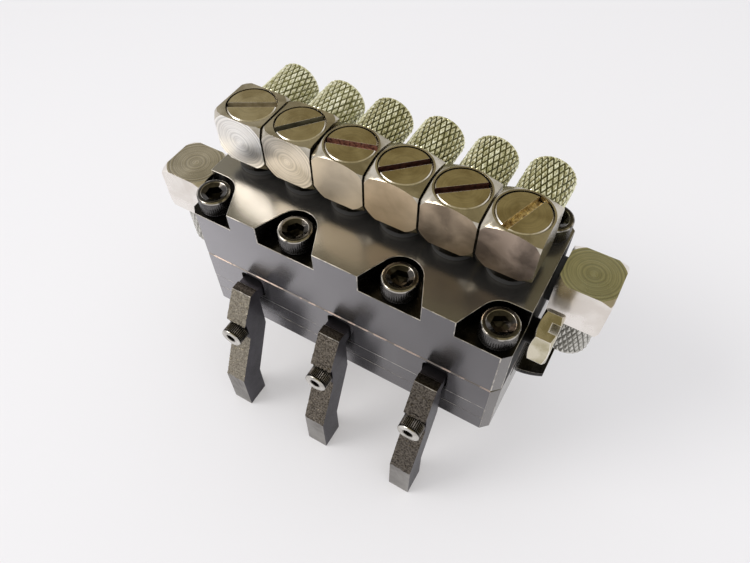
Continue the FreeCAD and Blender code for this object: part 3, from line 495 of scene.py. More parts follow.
class Finish(Enum):
    """Finishes that need no axis, each under the name of its real material."""

    BLACK_OXIDE_STEEL = BlackOxideSteel()
    # the pockets and the ears beyond the ends are blacker and glossier than the ground faces
    OILED_POCKET = PlainFinish("#34322f", "#1d1c1a", 1.0, 0.24, 0.5)
    # painted shade: the right end is matt and nearly black, even at a glancing angle
    OILED_END = PlainFinish("#211f1d", "#141312", 0.0, 0.55, 0.5, gloss=0.1)
    # broken edges of the oxide are bright with wear and a painted highlight
    WORN_OXIDE_EDGE = RubbedEdgeAndHighlight("#c4bfb6", "#8d8a86", 1.6, 0.6)
    # the bevel of the middle seam is rubbed down to a pinkish bare steel in places, and its bright
    # patches also stand for a painted highlight
    BARE_SEAM = RubbedEdgeAndHighlight("#b9a9a0", "#7c7774", 1.8, 0.5, 0.45)
    # crests of the knurl catch the light one by one; the grooves are darker with dirt and painted
    # shade
    KNURLED_NICKEL = PlainFinish("#fdfbdc", "#a9a775", 0.74, 0.16, 0.9, 0.08, 0.7)
    KNURL_GROOVE = PlainFinish("#6e6b40", "#4a4828", 0.8, 0.3, 0.4)
    # painted light: the first two nuts get a brighter copy of the knurl and glint the most
    BRIGHT_KNURL = PlainFinish("#fffee6", "#b9b888", 0.55, 0.16, 0.9, 0.08, 0.7)
    BRIGHT_GROOVE = PlainFinish("#8f8d5e", "#5f5d36", 0.7, 0.3, 0.4)
    # the nuts at the ends are newer: the same knurl in a cooler grey
    GREY_KNURL = PlainFinish("#dcdad3", "#a3a198", 0.74, 0.16, 0.9, 0.08, 0.7)
    GREY_GROOVE = PlainFinish("#8f8d85", "#6d6b64", 0.8, 0.34, 0.4)
    # painted highlight: the broken edges and rims of the nickel are painted near white
    BRIGHT_NICKEL_EDGE = RubbedEdgeAndHighlight("#f4efe6", "#d9d2c4", 2.0, 0.85, 0.24)
    # painted shade: the foot under each fitting and the shank of the relief screw are near black
    OILED_BOSS = PlainFinish("#161412", "#0d0c0a", 1.0, 0.4, 0.4)
    # socket screws: oiled black oxide with a rolled knurl, darker than the block
    SCREW_BLACK = PlainFinish("#6b6968", "#4a4847", 1.0, 0.26, 0.2)
    SCREW_RIM = PlainFinish("#5b5957", "#3b3938", 1.0, 0.17, 0.5, 0.01)
    # the rounded rim of each socket screw and the lip of its socket are bright with wear and a
    # painted highlight
    SCREW_EDGE = RubbedEdgeAndHighlight("#b3aea6", "#6b6864", 1.2, 0.7, 0.2)
    SOCKET_DARK = PlainFinish("#585552", "#2f2d2b", 1.0, 0.12, 0.5, 0.02)
    # the small screws on the levers are rubbed bright on their faces and knurls
    RUBBED_STEEL = PlainFinish("#dad7d1", "#b3afa8", 1.0, 0.24, 0.2)
    LINK_BLACK = PlainFinish("#3d3832", "#211e1b", 1.0, 0.3, 0.2)
    LINK_CREST = PlainFinish("#96918a", "#5e5a54", 1.0, 0.3, 0.2)
    LINK_SOCKET = PlainFinish("#8d8981", "#67635d", 1.0, 0.2, 0.2)
    # lever fronts keep a rough blasted skin that glints; the skin is painted lighter on the left
    # lever and darker towards the right one, as painted light from the left
    CAST_SKIN_LEFT = PlainFinish("#a29b8d", "#726b5f", 1.0, 0.42, 0.16, 0.015, 0.3)
    CAST_SKIN_MIDDLE = PlainFinish("#7e766b", "#38322c", 1.0, 0.28, 0.16, 0.024, 0.3)
    CAST_SKIN_RIGHT = PlainFinish("#706960", "#302b27", 1.0, 0.28, 0.16, 0.024, 0.3)
    CROWN_SKIN = PlainFinish("#4e4943", "#2a2623", 1.0, 0.34, 0.16, 0.02, 0.3)
    # a dark milled finish, kept darker as painted shade on the sides and tongue of each lever
    MILLED_BLACK = PlainFinish("#4c4a50", "#3c3a3f", 1.0, 0.4, 0.3, 0.003, 5.0)
    GROUND_TIP = PlainFinish("#96938f", "#7c7976", 1.0, 0.36, 0.3, 0.003, 4.0)
    GROUND_STEEL = PlainFinish("#b9b9b7", "#9a9a98", 1.0, 0.22, 0.2)
    SPRING_STEEL = PlainFinish("#8b8b8a", "#6b6b6a", 1.0, 0.3, 0.2)
    SEAL_RUBBER = PlainFinish("#100f0e", "#090808", 0.0, 0.6, 0.3, gloss=0.1)
    # dirt and old thread sealant in the slots of the banjo screws; the first slot's pale tone is a
    # painted reflection
    SLOT_BRIGHT = PlainFinish("#b9ac90", "#8f8468", 0.5, 0.5, 0.2)
    SLOT_GREY = PlainFinish("#78735d", "#56523f", 0.5, 0.5, 0.2)
    SLOT_COPPER = PlainFinish("#b07c68", "#33201a", 0.4, 0.4, 0.15, 0.02, 0.35)
    SLOT_BROWN = PlainFinish("#5a372a", "#331d16", 0.4, 0.45, 0.15, 0.02, 0.6)
    SLOT_GOLD = PlainFinish("#f0dc9c", "#86683a", 0.6, 0.28, 0.3, 0.01, 0.7)

    def made(self) -> Material:
        """The material of this finish, made once."""
        name = self.name.lower()
        return bpy.data.materials.get(name) or self.value.build(name)


def made(*finishes: Finish) -> list[Material]:
    """The materials of some finishes, in their order."""
    return [finish.made() for finish in finishes]


# the block
@dataclass
class StackedBlock:
    """The four plates of the block, with their pins and seals."""

    # material numbers on the plates: bright edges (wear and painted highlight), seam bevel,
    # pockets, right end (painted shade); 0 is ground black oxide
    WORN, SEAM, POCKET, END = range(1, 5)

    half_depth: float = 12.1
    top: float = 26.0
    seam: float = 12.9
    seam_width: float = 0.3
    pocket_floor: float = 22.65
    pocket_back: float = -4.6
    edge: float = 0.09
    end_bore_reach: float = 3.9
    plates: tuple[str, ...] = ("upper_body", "middle_plate", "lower_plate", "base_plate")
    steel: tuple[str, ...] = ("hinge_rod", "dowel_pins", "relief_ball", "spool_left",
                              "spool_middle", "spool_right")
    seals: tuple[str, ...] = ("spool_seals", "port_seal_washers", "end_seal_washers")

    def build(self) -> None:
        """Builds the plates and dresses the pieces inside them."""
        finishes = made(Finish.BLACK_OXIDE_STEEL, Finish.WORN_OXIDE_EDGE, Finish.BARE_SEAM,
                        Finish.OILED_POCKET, Finish.OILED_END)
        for name in self.plates:
            mesh = copied(name)
            self._sort_faces(mesh)
            break_edges(mesh, self.edge, self.WORN, self._outside)
            finish_piece(f"{name}_ground", mesh, finishes, VALVE_BODY, name,
                         limit=50.0, weighted=True)
        for names, finish in ((self.steel, Finish.GROUND_STEEL), (self.seals, Finish.SEAL_RUBBER),
                              (("relief_spring",), Finish.SPRING_STEEL)):
            for name in names:
                dress(name, finish.made())

    def _sort_faces(self, mesh: BMesh) -> None:
        """Gives the seam's bevel, the pockets, the ears and the right end, in painted shade, their
        own finish.
        """
        for face in mesh.faces:
            middle = face.calc_center_median() / MM
            outer = (abs(middle.x) > HALF_LENGTH - self.seam_width
                     or abs(middle.y) > self.half_depth - self.seam_width)
            slanted = 0.3 < abs(face.normal.z) < 0.9
            if outer and slanted and abs(middle.z - self.seam) < self.seam_width:
                face.material_index = self.SEAM
            # the right end above the seam is painted in shade
            elif middle.x > HALF_LENGTH - NEAR and middle.z > self.seam:
                face.material_index = self.END
            elif abs(middle.x) > HALF_LENGTH + NEAR:
                face.material_index = self.POCKET
            elif (self.pocket_floor - 0.1 < middle.z < self.top - 0.1
                  and middle.y < self.pocket_back
                  and abs(middle.y) < self.half_depth - 2 * NEAR
                  and abs(middle.x) < HALF_LENGTH - 2 * NEAR):
                face.material_index = self.POCKET

    def _outside(self, spot: Vector) -> bool:
        """Says whether an edge shows on the outside of the block.

        Args:
            spot: middle of the edge, in millimetres.

        Returns:
            True on the outline and round the pockets, but not at a bore or the middle seam.
        """
        if abs(spot.z - self.seam) < self.seam_width + 0.1:
            return False
        at_end = abs(spot.x) > HALF_LENGTH - NEAR
        at_side = abs(spot.y) > self.half_depth - NEAR
        if at_end and any(math.hypot(spot.y - y, spot.z - z) < self.end_bore_reach
                          for y, z in (RETURN_YZ, SUPPLY_YZ)):
            return False
        pocket = spot.z > self.top - NEAR and spot.y < self.pocket_back
        return at_end or at_side or pocket


# socket head screws
@dataclass
class CapScrew:
    """Socket head cap screw with a knurled head, drawn with its head up from z = 0."""

    # material numbers on the screw; 0 is the knurl
    RIM, SOCKET, CREST, EDGE = range(1, 5)

    head: float
    height: float
    shank: float
    length: float
    key: float
    key_depth: float
    flutes: int
    flute_depth: float
    rim: float = 0.3
    mouth: float = 0.72
    band: float = 0.95
    bright_crests: bool = False
    tip: float = 0.3
    foot: float = 0.2
    knurl_start: float = 0.35
    knurl_rows: int = 6
    lip: float = 0.08
    lip_drop: float = 0.05
    mouth_slope: float = 0.55
    drill_point: float = 0.35
    steps: int = 144

    def mesh(self) -> BMesh:
        """Draws the screw.

        Returns:
            The screw, in millimetres.
        """
        r, s = self.head / 2, self.shank / 2
        inner = r * self.mouth
        knurl = self.height - self.rim - self.band - self.knurl_start
        rows = [self.knurl_start + knurl * k / self.knurl_rows
                for k in range(self.knurl_rows + 1)]
        profile = [(0.0, -self.length), (s - self.tip, -self.length),
                   (s, -self.length + self.tip), (s, 0.0), (r - self.foot, 0.0), (r, self.foot)]
        profile += [(r, z) for z in rows] + [(r, self.height - self.rim)]
        profile += [(r - self.rim * (1 - math.cos(a)), self.height - self.rim * (1 - math.sin(a)))
                    for a in (math.pi / 6, math.pi / 3, math.pi / 2)]
        profile += [(inner + self.lip, self.height), (inner, self.height - self.lip_drop)]
        mesh = spun(profile, self.steps, closed=False)
        for vert in mesh.verts:
            radius = math.hypot(vert.co.x, vert.co.y)
            if radius > r - NEAR and rows[0] - NEAR < vert.co.z < rows[-1] + NEAR:
                turn = math.atan2(vert.co.y, vert.co.x)
                tooth = abs(math.sin(turn * self.flutes / 2))
                scale = 1 - self.flute_depth * (1 - tooth) / r
                vert.co.x *= scale
                vert.co.y *= scale
        self._socket(mesh, inner)
        for face in mesh.faces:
            middle = face.calc_center_median()
            radius = math.hypot(middle.x, middle.y)
            top = middle.z > self.height - self.rim - self.lip_drop
            crest = (self.bright_crests and rows[0] < middle.z < rows[-1]
                     and radius > r - 0.35 * self.flute_depth)
            if crest:
                face.material_index = self.CREST
            # rim and socket lip take the edge finish: wear and painted highlight
            elif top and (radius > r - self.rim or inner < radius < inner + self.lip):
                face.material_index = self.EDGE
            elif top and radius > inner:
                face.material_index = self.RIM
            elif radius < inner and middle.z > 0:
                face.material_index = self.SOCKET
        return mesh

    def _socket(self, mesh: BMesh, inner: float) -> None:
        """Sinks the bevelled hexagon socket into the head.

        Args:
            mesh: screw whose head is open at the top.
            inner: radius of the opening.
        """
        rim = [e for e in mesh.edges if e.is_boundary and e.verts[0].co.z > 0]
        corner = self.key / 2 / math.cos(math.pi / 6)

        def ring(height: float) -> list[bmesh.types.BMEdge]:
            """Draws the hexagon with as many points as the rim.

            Args:
                height: its height in the head.

            Returns:
                Its edges.
            """
            verts = bmesh.ops.create_circle(mesh, cap_ends=False, radius=corner,
                                            segments=self.steps)["verts"]
            for vert in verts:
                turn = math.atan2(vert.co.y, vert.co.x)
                step = (turn + math.pi / 6) % (math.pi / 3) - math.pi / 6
                reach = self.key / 2 / math.cos(step)
                vert.co = Vector((reach * math.cos(turn), reach * math.sin(turn), height))
            return list({e for v in verts for e in v.link_edges})

        upper = ring(self.height - self.lip_drop - (inner - corner) * self.mouth_slope)
        lower = ring(self.height - self.key_depth)
        bmesh.ops.bridge_loops(mesh, edges=rim + upper)
        bmesh.ops.bridge_loops(mesh, edges=upper + lower)
        floor = bmesh.ops.edgeloop_fill(mesh, edges=lower)
        bmesh.ops.poke(mesh, faces=floor["faces"], offset=-self.drill_point)
        bmesh.ops.recalc_face_normals(mesh, faces=mesh.faces[:])


@dataclass
class BlockScrews:
    """The M3 screws that hold the block together, in two rows."""

    xs: tuple[float, ...] = (-24.1, -8.85, 8.85, 24.1)
    rows: tuple[tuple[str, float, float, float], ...] = (
        ("front_bolts", -8.8, 22.65, 22.0), ("rear_bolts", 9.3, 26.0, 25.0))

    def build(self) -> None:
        """Builds and dresses the eight screws."""
        finishes = made(Finish.SCREW_BLACK, Finish.SCREW_RIM, Finish.SOCKET_DARK,
                        Finish.SCREW_BLACK, Finish.SCREW_EDGE)
        for node, y, z, length in self.rows:
            for number, x in enumerate(self.xs, start=1):
                screw = CapScrew(head=5.5, height=3.0, shank=3.0, length=length, key=2.5,
                                 key_depth=1.7, flutes=48, flute_depth=0.1)
                spin = Matrix.Rotation(math.radians(17 * number + y), 4, "Z")
                finish_piece(f"{node[:-1]}_{number}", screw.mesh(), finishes, VALVE_BODY,
                             node,
                             place=placed((x, y, z), X_AXIS, Y_AXIS, Z_AXIS) @ spin)


# hose fittings
@dataclass
class HoseNut:
    """Nut with a diamond knurl, drawn along +Z from the middle of its fitting."""

    near: float = 4.35
    length: float = 8.1
    radius: float = 3.65
    rim: float = 0.45
    thread: float = 2.76
    hose: float = 2.1
    wall: float = 1.4
    mouth: float = 0.3
    shoulder: tuple[float, float] = (0.12, 0.14)
    teeth: int = 26
    steps_per_tooth: int = 12
    rows: int = 36
    groove_depth: float = 0.26
    groove_share: float = 0.75
    dark_share: float = 0.6

    def mesh(self) -> BMesh:
        """Draws the nut.

        Returns:
            The nut, in millimetres.
        """
        far = self.near + self.length
        low, high = self.near + self.rim, far - self.rim
        row = (high - low) / self.rows
        r = self.radius
        drop, run = self.shoulder
        profile = [(self.thread, self.near), (r - self.rim, self.near), (r - drop, low - run)]
        profile += [(r, low + row * k) for k in range(self.rows + 1)]
        profile += [(r - drop, high + run), (r - self.rim, far), (self.hose + self.mouth, far),
                    (self.hose, far - self.mouth), (self.hose, far - self.wall),
                    (self.thread, far - self.wall - self.thread + self.hose)]
        mesh = spun(profile, self.teeth * self.steps_per_tooth)
        lead = row * self.steps_per_tooth
        for vert in mesh.verts:
            radius = math.hypot(vert.co.x, vert.co.y)
            if radius > r - NEAR:
                depth = self._groove(math.atan2(vert.co.y, vert.co.x), (vert.co.z - low) / lead)
                vert.co.x *= 1 - depth / radius
                vert.co.y *= 1 - depth / radius
        for face in mesh.faces:
            middle = face.calc_center_median()
            if low < middle.z < high:
                turn = math.atan2(middle.y, middle.x)
                depth = self._groove(turn, (middle.z - low) / lead)
                # the deeper faces take the groove finish: dirt and painted shade
                face.material_index = int(depth > self.dark_share * self.groove_depth)
        return mesh

    def _groove(self, turn: float, leads: float) -> float:
        """Depth of the diamond knurl at one place.

        Args:
            turn: angle round the nut, in radians.
            leads: place along the nut, in leads of the knurl.

        Returns:
            Depth below the flat lands, in millimetres.
        """
        depths = []
        for hand in (-1, 1):
            phase = turn * self.teeth / math.tau + hand * leads
            crest = 1 - abs(2 * (phase % 1.0) - 1)
            depths.append(self.groove_depth * (1 - min(1.0, crest / self.groove_share)))
        return max(depths)


@dataclass
class FittingPlace:
    """Where one fitting stands: its names, its middle and its axes."""

    label: str
    fitting: str
    nut: str
    screw: str
    middle: tuple[float, float, float]
    across: Vector
    hose: Vector
    head: Vector
    sides: NickelPlatedBrass
    front: NickelPlatedBrass
    slot: Finish
    knurl: tuple[Finish, Finish]

    def matrix(self) -> Matrix:
        """Place of a piece that is drawn with its hose along +Y and its head along +Z."""
        return placed(self.middle, self.across, self.hose, self.head)


@dataclass
class HoseFittings:
    """The eight square fittings with their slotted screws and knurled nuts."""

    # material numbers: bright edges with painted highlights, turned front or slot of the screw,
    # foot in painted shade; 0 is the rest
    BRIGHT, INSIDE, BOSS = range(1, 4)

    pitch: float = 8.56
    port_y: float = 0.4
    port_z: float = 32.8
    end_x: float = 32.1
    half: float = 4.1
    head_radius: float = 3.7
    rim_width: float = 0.3
    mouth_reach: float = 3.45
    slot_floor: float = 3.2
    rim_foot: float = 3.94
    edge: float = 0.08
    screw_room: tuple[float, float, float] = (4.2, 4.2, 20.0)
    places: list[FittingPlace] = field(default_factory=list)

    def __post_init__(self) -> None:
        """Lists the six fittings of the row and the two at the ends."""
        ringed = partial(NickelPlatedBrass, cloud_mm=5.0, ring_mm=0.3, pip_mm=0.2)
        satin = partial(NickelPlatedBrass, pip_mm=0.3)
        green = ringed("#d8d9be", "#c6c7aa", 0.24, ring_depth_mm=0.03, turned_sheen=0.8)
        warm = ringed("#cdc5b3", "#bbb3a0", 0.24, ring_depth_mm=0.026, turned_sheen=0.8)
        # painted light: the sides of the end fittings get a paler copy of the nickel
        light = NickelPlatedBrass("#f4efe9", "#e2dbd3", 0.26, cloud_mm=5.0)
        # painted reflection and shade: the fronts are darker and darker towards the right of the
        # row, the first one near white
        fronts_lit_to_shaded = (ringed("#fffdf9", "#f6f2eb", 0.32, ring_depth_mm=0.014, turned_sheen=0.6),
                  ringed("#d2cabd", "#bfb7a8", 0.3, ring_depth_mm=0.016, turned_sheen=0.6),
                  satin("#d8cab3", "#c0b29b", 0.46, 5.5), satin("#d0bc9f", "#b4a186", 0.38, 5.0),
                  satin("#bba891", "#8b7c6a", 0.34, 4.2), satin("#b3a192", "#786b60", 0.34, 3.8))
        plain = (Finish.KNURLED_NICKEL, Finish.KNURL_GROOVE)
        # painted light: the first two nuts take the lit knurl
        bright = (Finish.BRIGHT_KNURL, Finish.BRIGHT_GROOVE)
        grey = (Finish.GREY_KNURL, Finish.GREY_GROOVE)
        slots = (Finish.SLOT_BRIGHT, Finish.SLOT_GREY, Finish.SLOT_COPPER, Finish.SLOT_BROWN,
                 Finish.SLOT_BROWN, Finish.SLOT_GOLD)
        for number, (front, slot) in enumerate(zip(fronts_lit_to_shaded, slots), start=1):
            x = (number - 3.5) * self.pitch
            self.places.append(FittingPlace(
                f"port_{number}", f"port_fitting_{number}", f"hose_nut_{number}",
                "port_banjo_screws", (x, self.port_y, self.port_z), X_AXIS, Y_AXIS, Z_AXIS,
                NickelPlatedBrass(), front, slot, bright if number < 3 else plain))
        for side, front, across, head, spot in (
                ("left", warm, Y_AXIS, -X_AXIS, (-self.end_x, *RETURN_YZ)),
                ("right", green, -Y_AXIS, X_AXIS, (self.end_x, *SUPPLY_YZ))):
            self.places.append(FittingPlace(
                f"end_{side}", f"end_fitting_{side}", f"end_hose_nut_{side}",
                "end_banjo_screws", spot, across, -Z_AXIS, head, light, front,
                Finish.SLOT_GREY, grey))

    def build(self) -> None:
        """Builds and dresses every fitting, screw and nut."""
        for place in self.places:
            self._fitting(place)
            self._screw(place)
            self._nut(place)

    def _fitting(self, place: FittingPlace) -> None:
        """Builds the square body of one fitting, with its turned front.

        Args:
            place: where the fitting stands.
        """
        centre = Vector(place.middle) * MM
        finishes = [place.sides.build(f"nickel_{place.label}", centre, place.hose),
                    Finish.BRIGHT_NICKEL_EDGE.made(),
                    place.front.build(f"nickel_front_{place.label}", centre, place.hose),
                    Finish.OILED_BOSS.made()]
        inward = place.matrix().inverted()
        mesh = copied(place.fitting)
        for face in mesh.faces:
            middle = inward @ face.calc_center_median()
            if face.normal.dot(-place.hose) > 0.99 and middle.y < NEAR - self.half:
                face.material_index = self.INSIDE
            # painted shade on the foot under the body
            elif middle.z < NEAR - self.half:
                face.material_index = self.BOSS

        def above_boss(spot: Vector) -> bool:
            """Says whether the middle of an edge lies on the square body."""
            return (inward @ (spot * MM)).z > -self.half - NEAR

        break_edges(mesh, self.edge, self.BRIGHT, above_boss)
        finish_piece(f"{place.fitting}_body", mesh, finishes, VALVE_BODY,
                     place.fitting, limit=50.0, weighted=True)

    def _screw(self, place: FittingPlace) -> None:
        """Builds the slotted hollow screw of one fitting.

        Args:
            place: where the fitting stands.
        """
        centre = Vector(place.middle) * MM
        head = NickelPlatedBrass("#cbbf9f", "#ad9f7c", 0.18, 3.5, ring_depth_mm=0.006,
                                 turned_sheen=0.4, pip_mm=0.2)
        finishes = [head.build(f"nickel_screw_{place.label}", centre, place.head),
                    Finish.BRIGHT_NICKEL_EDGE.made(), place.slot.made()]
        inward = place.matrix().inverted()
        mesh = copied(place.screw)
        strangers = [v for v in mesh.verts if any(
            abs(c) > reach for c, reach in zip(inward @ v.co, self.screw_room))]
        bmesh.ops.delete(mesh, geom=strangers, context="VERTS")

        def in_slot_mouth(spot: Vector) -> bool:
            """Says whether the middle of an edge lies on the mouth of the slot."""
            local = inward @ (spot * MM)
            return (local.z > self.half - NEAR
                    and math.hypot(local.x, local.y) < self.mouth_reach)

        for face in mesh.faces:
            middle = inward @ face.calc_center_median()
            flat = abs(face.normal.dot(place.head)) > 0.99
            radius = math.hypot(middle.x, middle.y)
            on_rim = radius > self.head_radius - self.rim_width
            # painted highlight: the turned rim of the head is bright
            if middle.z > self.rim_foot and not flat and on_rim:
                face.material_index = self.BRIGHT
            elif (self.slot_floor - 5 * NEAR < middle.z < self.half - 2 * NEAR
                  and radius < self.head_radius - 5 * NEAR):
                face.material_index = self.INSIDE
        break_edges(mesh, self.edge / 2, self.BRIGHT, in_slot_mouth)
        finish_piece(f"banjo_screw_{place.label}", mesh, finishes, VALVE_BODY,
                     place.screw, limit=40.0, weighted=True)

    def _nut(self, place: FittingPlace) -> None:
        """Builds the knurled nut of one fitting."""
        finish_piece(f"{place.nut}_knurled", HoseNut().mesh(), made(*place.knurl),
                     f"{place.nut}_collar", place.nut, limit=25.0,
                     place=placed(place.middle, place.across, -place.head, place.hose))


# levers
@dataclass
class ControlLevers:
    """The three rocking levers with the small screws on their arms."""

    # material numbers on a lever
    SKIN, SIDE, TIP, WORN, CROWN = range(5)

    names: tuple[str, ...] = ("left", "middle", "right")
    pitch: float = 17.12
    seat_y: float = -17.755
    screw_z: float = 3.76
    crown_z: float = 11.15
    crown_ys: tuple[float, float] = (-15.2, -13.5)
    tip_top: float = -7.16
    edge: float = 0.07
    broad_area: float = 2.0
    cell: float = 0.14
    grain: float = 0.36
    relief: float = 0.14
    sunk: float = 0.45
    skins: tuple[Finish, ...] = (Finish.CAST_SKIN_LEFT, Finish.CAST_SKIN_MIDDLE,
                                 Finish.CAST_SKIN_RIGHT)

    def build(self) -> None:
        """Builds and dresses the levers and their screws."""
        for number, (name, skin) in enumerate(zip(self.names, self.skins), start=-1):
            self._lever(name, skin)
            self._screw(name, number * self.pitch)

    def _lever(self, name: str, skin: Finish) -> None:
        """Builds one lever with its rough front, smooth sides, and a crown whose edges are bright
        with wear and painted highlight.

        Args:
            name: which of the three levers.
            skin: finish of its blasted front.
        """
        mesh = copied(f"lever_{name}")
        for face in mesh.faces:
            middle = face.calc_center_median() / MM
            front = face.normal.y < -0.5 and abs(face.normal.x) < 0.1
            tip = front and middle.z < self.tip_top
            face.material_index = self.TIP if tip else self.SIDE
        break_edges(mesh, self.edge, self.WORN, self._on_crown_edge)
        rough = []
        for face in mesh.faces:
            middle = face.calc_center_median() / MM
            broad = face.calc_area() > self.broad_area * MM * MM
            if broad and face.normal.z > 0.99 and abs(middle.z - self.crown_z) < 0.1:
                face.material_index = self.CROWN
            elif broad and face.normal.y < -0.8 and face.normal.z > 0.3:
                face.material_index = self.SKIN
                rough.append(face)
        self._roughen(mesh, rough)
        finish_piece(f"lever_{name}_arm_cast", mesh,
                     made(skin, Finish.MILLED_BLACK, Finish.GROUND_TIP, Finish.WORN_OXIDE_EDGE,
                          Finish.CROWN_SKIN),
                     f"lever_{name}_arm", f"lever_{name}", limit=30.0)

    def _on_crown_edge(self, spot: Vector) -> bool:
        """Says whether the middle of an edge lies along the front or back of the crown."""
        return (abs(spot.z - self.crown_z) < 5 * NEAR
                and any(abs(spot.y - y) < 5 * NEAR for y in self.crown_ys))

    def _roughen(self, mesh: BMesh, rough: list[bmesh.types.BMFace]) -> None:
        """Cuts the blasted faces into small cells and moves their corners in and out.

        Args:
            mesh: the lever, in metres.
            rough: its blasted faces.
        """
        for face in rough:
            normal = face.normal.copy()
            down = normal.cross(X_AXIS).normalized()
            geom = [face] + face.edges[:] + face.verts[:]
            spans = [(way, min(v.co.dot(way) for v in face.verts),
                      max(v.co.dot(way) for v in face.verts)) for way in (X_AXIS, down)]
            for way, low, high in spans:
                count = max(1, round((high - low) / (self.cell * MM)))
                for step in range(1, count):
                    spot = way * (low + (high - low) * step / count)
                    cut = bmesh.ops.bisect_plane(mesh, geom=geom, dist=1e-7, plane_co=spot,
                                                 plane_no=way)
                    geom = cut["geom"]
            for vert in {v for v in geom if isinstance(v, bmesh.types.BMVert)}:
                spot = vert.co / (self.grain * MM)
                bump = noise.noise(spot) + 0.5 * noise.noise(spot * 2.3)
                vert.co += normal * (bump - self.sunk) * self.relief * MM

    def _screw(self, name: str, x: float) -> None:
        """Builds the knurled socket screw that stands level out of one arm.

        Args:
            name: which of the three levers.
            x: place of its middle along the block.
        """
        screw = CapScrew(head=3.8, height=2.5, shank=2.0, length=4.0, key=1.5, key_depth=1.2,
                         flutes=36, flute_depth=0.13, rim=0.2, mouth=0.5, band=0.25,
                         bright_crests=True)
        finish_piece(f"link_screw_{name}_knurled", screw.mesh(),
                     made(Finish.LINK_BLACK, Finish.RUBBED_STEEL, Finish.LINK_SOCKET,
                          Finish.LINK_CREST, Finish.RUBBED_STEEL),
                     f"lever_{name}_arm", f"link_screw_{name}",
                     place=placed((x, self.seat_y, self.screw_z), X_AXIS, Z_AXIS, -Y_AXIS))


@dataclass
class ReliefAdjuster:
    """The hexagon that sets the relief pressure."""

    # material numbers: bright edges with painted highlights, and the shank darkened as painted
    # shade; 0 is the hexagon
    BRIGHT, SHANK = 1, 2

    gap: float = 1.1
    edge: float = 0.06

    def build(self) -> None:
        """Builds and dresses the adjuster."""
        nickel = NickelPlatedBrass("#d6cfbb", "#b3ab8f", 0.22, 2.5)
        mesh = copied("relief_screw")
        foot = HALF_LENGTH + self.gap - 5 * NEAR
        for face in mesh.faces:
            if face.calc_center_median().x < foot * MM:
                face.material_index = self.SHANK
        break_edges(mesh, self.edge, self.BRIGHT, lambda spot: spot.x > foot)
        centre = Vector((HALF_LENGTH, *RETURN_YZ)) * MM
        finish_piece("relief_screw_hexagon", mesh,
                     [nickel.build("nickel_relief", centre, X_AXIS),
                      *made(Finish.BRIGHT_NICKEL_EDGE, Finish.OILED_BOSS)],
                     "relief_adjuster", "relief_screw", limit=50.0,
                     weighted=True)


# floor, light and camera
def seen_directly(tree: Tree) -> Node:
    """Tells rays of the camera, of mirrors and of glass from the rays that light dull surfaces.

    Args:
        tree: node tree that gets the nodes.

    Returns:
        Node that gives one for the former and zero for the latter.
    """
    path = add_node(tree, "LightPath").outputs
    seen = add_node(tree, "Math", {0: path["Is Camera Ray"], 1: path["Is Glossy Ray"]},
                    operation="MAXIMUM")
    return add_node(tree, "Math", {0: seen, 1: path["Is Transmission Ray"]},
                    operation="MAXIMUM")


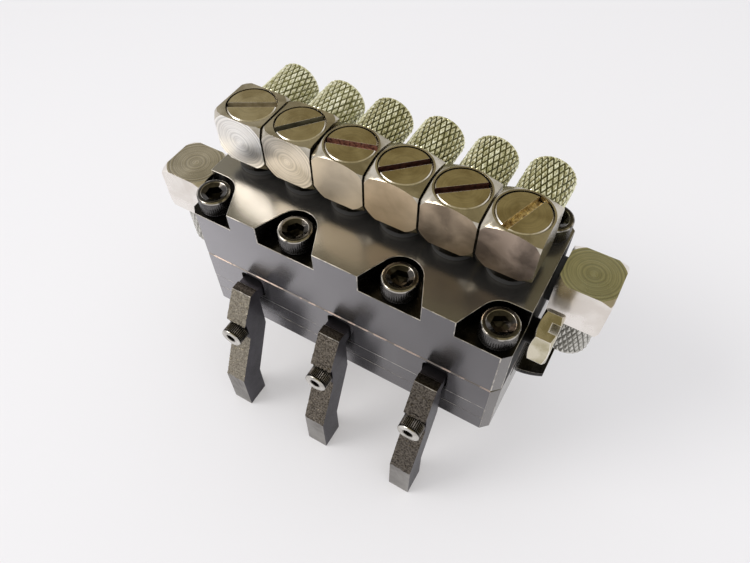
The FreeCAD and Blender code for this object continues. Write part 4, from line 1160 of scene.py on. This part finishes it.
@dataclass
class PhotoStage:
    """Plain pale floor, soft light and the camera at the photograph's place.

    Floor and camera are placed in millimetres, the lamp in metres.
    """

    floor_z: float = -16.11
    plain_share: float = 0.3
    eye: tuple[float, float, float] = (32.415, -55.665, 95.992)
    yaw: float = 30.5166
    pitch: float = 53.8072
    roll: float = -0.4897
    lens: float = 30.191
    lamp: tuple[float, float, float] = (-0.49, -0.35, 0.5)
    lamp_aim: tuple[float, float, float] = (-0.02, -0.02, -0.016)
    lamp_watts: float = 16.0

    def build(self) -> None:
        """Sets up the floor, the world, the lamp and the camera."""
        self._floor()
        self._world()
        self._lamp()
        self._camera()
        bpy.context.scene.view_settings.view_transform = "Standard"

    def _floor(self) -> None:
        """Lays the floor under the lowest point of the levers."""
        mesh = bmesh.new()
        bmesh.ops.create_grid(mesh, x_segments=1, y_segments=1, size=3.0)
        bmesh.ops.translate(mesh, vec=(0, 0, self.floor_z * MM), verts=mesh.verts[:])
        data = bpy.data.meshes.new("floor")
        mesh.to_mesh(data)
        mesh.free()
        floor = bpy.data.objects.new("floor", data)
        bpy.context.scene.collection.objects.link(floor)
        material = bpy.data.materials.new("pale_card")
        material.use_nodes = True
        tree = material.node_tree
        shader = tree.nodes["Principled BSDF"]
        fill(shader, {"Base Color": linear("#e0e2e7"), "Roughness": 0.9,
                      "Specular IOR Level": 0.0})
        # nearly a third of what camera and metal see of the card is its own plain tone
        share = add_node(tree, "Math", {0: seen_directly(tree), 1: self.plain_share},
                         operation="MULTIPLY")
        plain = add_node(tree, "Emission", {"Color": linear("#f2ece6"), "Strength": 1.0})
        fill(tree.nodes["Material Output"], {
            "Surface": add_node(tree, "MixShader", {0: share, 1: shader, 2: plain})})
        data.materials.append(material)

    def _world(self) -> None:
        """Sets an even light on dull surfaces, and a studio that metal mirrors.

        The studio is pale near the floor and on the left, and a dim olive room overhead.
        """
        world = bpy.data.worlds.new("studio")
        bpy.context.scene.world = world
        world.use_nodes = True
        tree = world.node_tree
        view = add_node(tree, "TexCoord").outputs["Generated"]
        split = add_node(tree, "SeparateXYZ", {0: view})
        low = add_node(tree, "MapRange", {
            "Value": split.outputs["Z"], "From Min": 0.3, "From Max": 0.55, "To Min": 1.0,
            "To Max": 0.0}, interpolation_type="SMOOTHSTEP")
        left = add_node(tree, "MapRange", {
            "Value": split.outputs["X"], "From Min": -0.42, "From Max": -0.88},
            interpolation_type="SMOOTHSTEP")
        pale = add_node(tree, "Math", {0: low, 1: left}, operation="MAXIMUM")
        studio = add_node(tree, "ValToRGB", {"Fac": pale},
                          stops=((0.0, "#968c6b"), (1.0, "#eeeef0")))
        mixed = add_node(tree, "Mix", {
            0: seen_directly(tree), 6: linear("#fbfafb"), 7: studio}, data_type="RGBA")
        fill(tree.nodes["Background"], {"Color": mixed.outputs[2], "Strength": 1.0})

    def _lamp(self) -> None:
        """Hangs a soft lamp at the left, aimed beside the valve so that its light falls off."""
        data = bpy.data.lights.new("lamp_left", "SPOT")
        data.energy = self.lamp_watts
        data.shadow_soft_size = 0.22
        data.spot_size = math.radians(40)
        data.spot_blend = 1.0
        data.color = linear("#fffaf4")[:3]
        lamp = bpy.data.objects.new("lamp_left", data)
        lamp.location = self.lamp
        way = Vector(self.lamp_aim) - Vector(self.lamp)
        lamp.rotation_euler = way.to_track_quat("-Z", "Y").to_euler()
        bpy.context.scene.collection.objects.link(lamp)

    def _camera(self) -> None:
        """Puts the camera where the photograph was taken."""
        data = bpy.data.cameras.new("photo_camera")
        data.sensor_width = 36.0
        data.lens = self.lens
        data.clip_start = 0.002
        data.clip_end = 20.0
        camera = bpy.data.objects.new("photo_camera", data)
        turn = (Matrix.Rotation(math.radians(self.yaw), 4, "Z")
                @ Matrix.Rotation(math.radians(90 - self.pitch), 4, "X")
                @ Matrix.Rotation(math.radians(self.roll), 4, "Z"))
        camera.matrix_world = Matrix.Translation(Vector(self.eye) * MM) @ turn
        bpy.context.scene.collection.objects.link(camera)
        bpy.context.scene.camera = camera


def main() -> None:
    """Builds the looks of the valve round its solids."""
    logging.basicConfig(level=logging.INFO, format="%(name)s: %(message)s")
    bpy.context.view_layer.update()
    for part in (PhotoStage(), StackedBlock(), BlockScrews(), HoseFittings(), ControlLevers(),
                 ReliefAdjuster()):
        log.info("building %s", type(part).__name__)
        part.build()


if __name__ == "__main__":
    main()
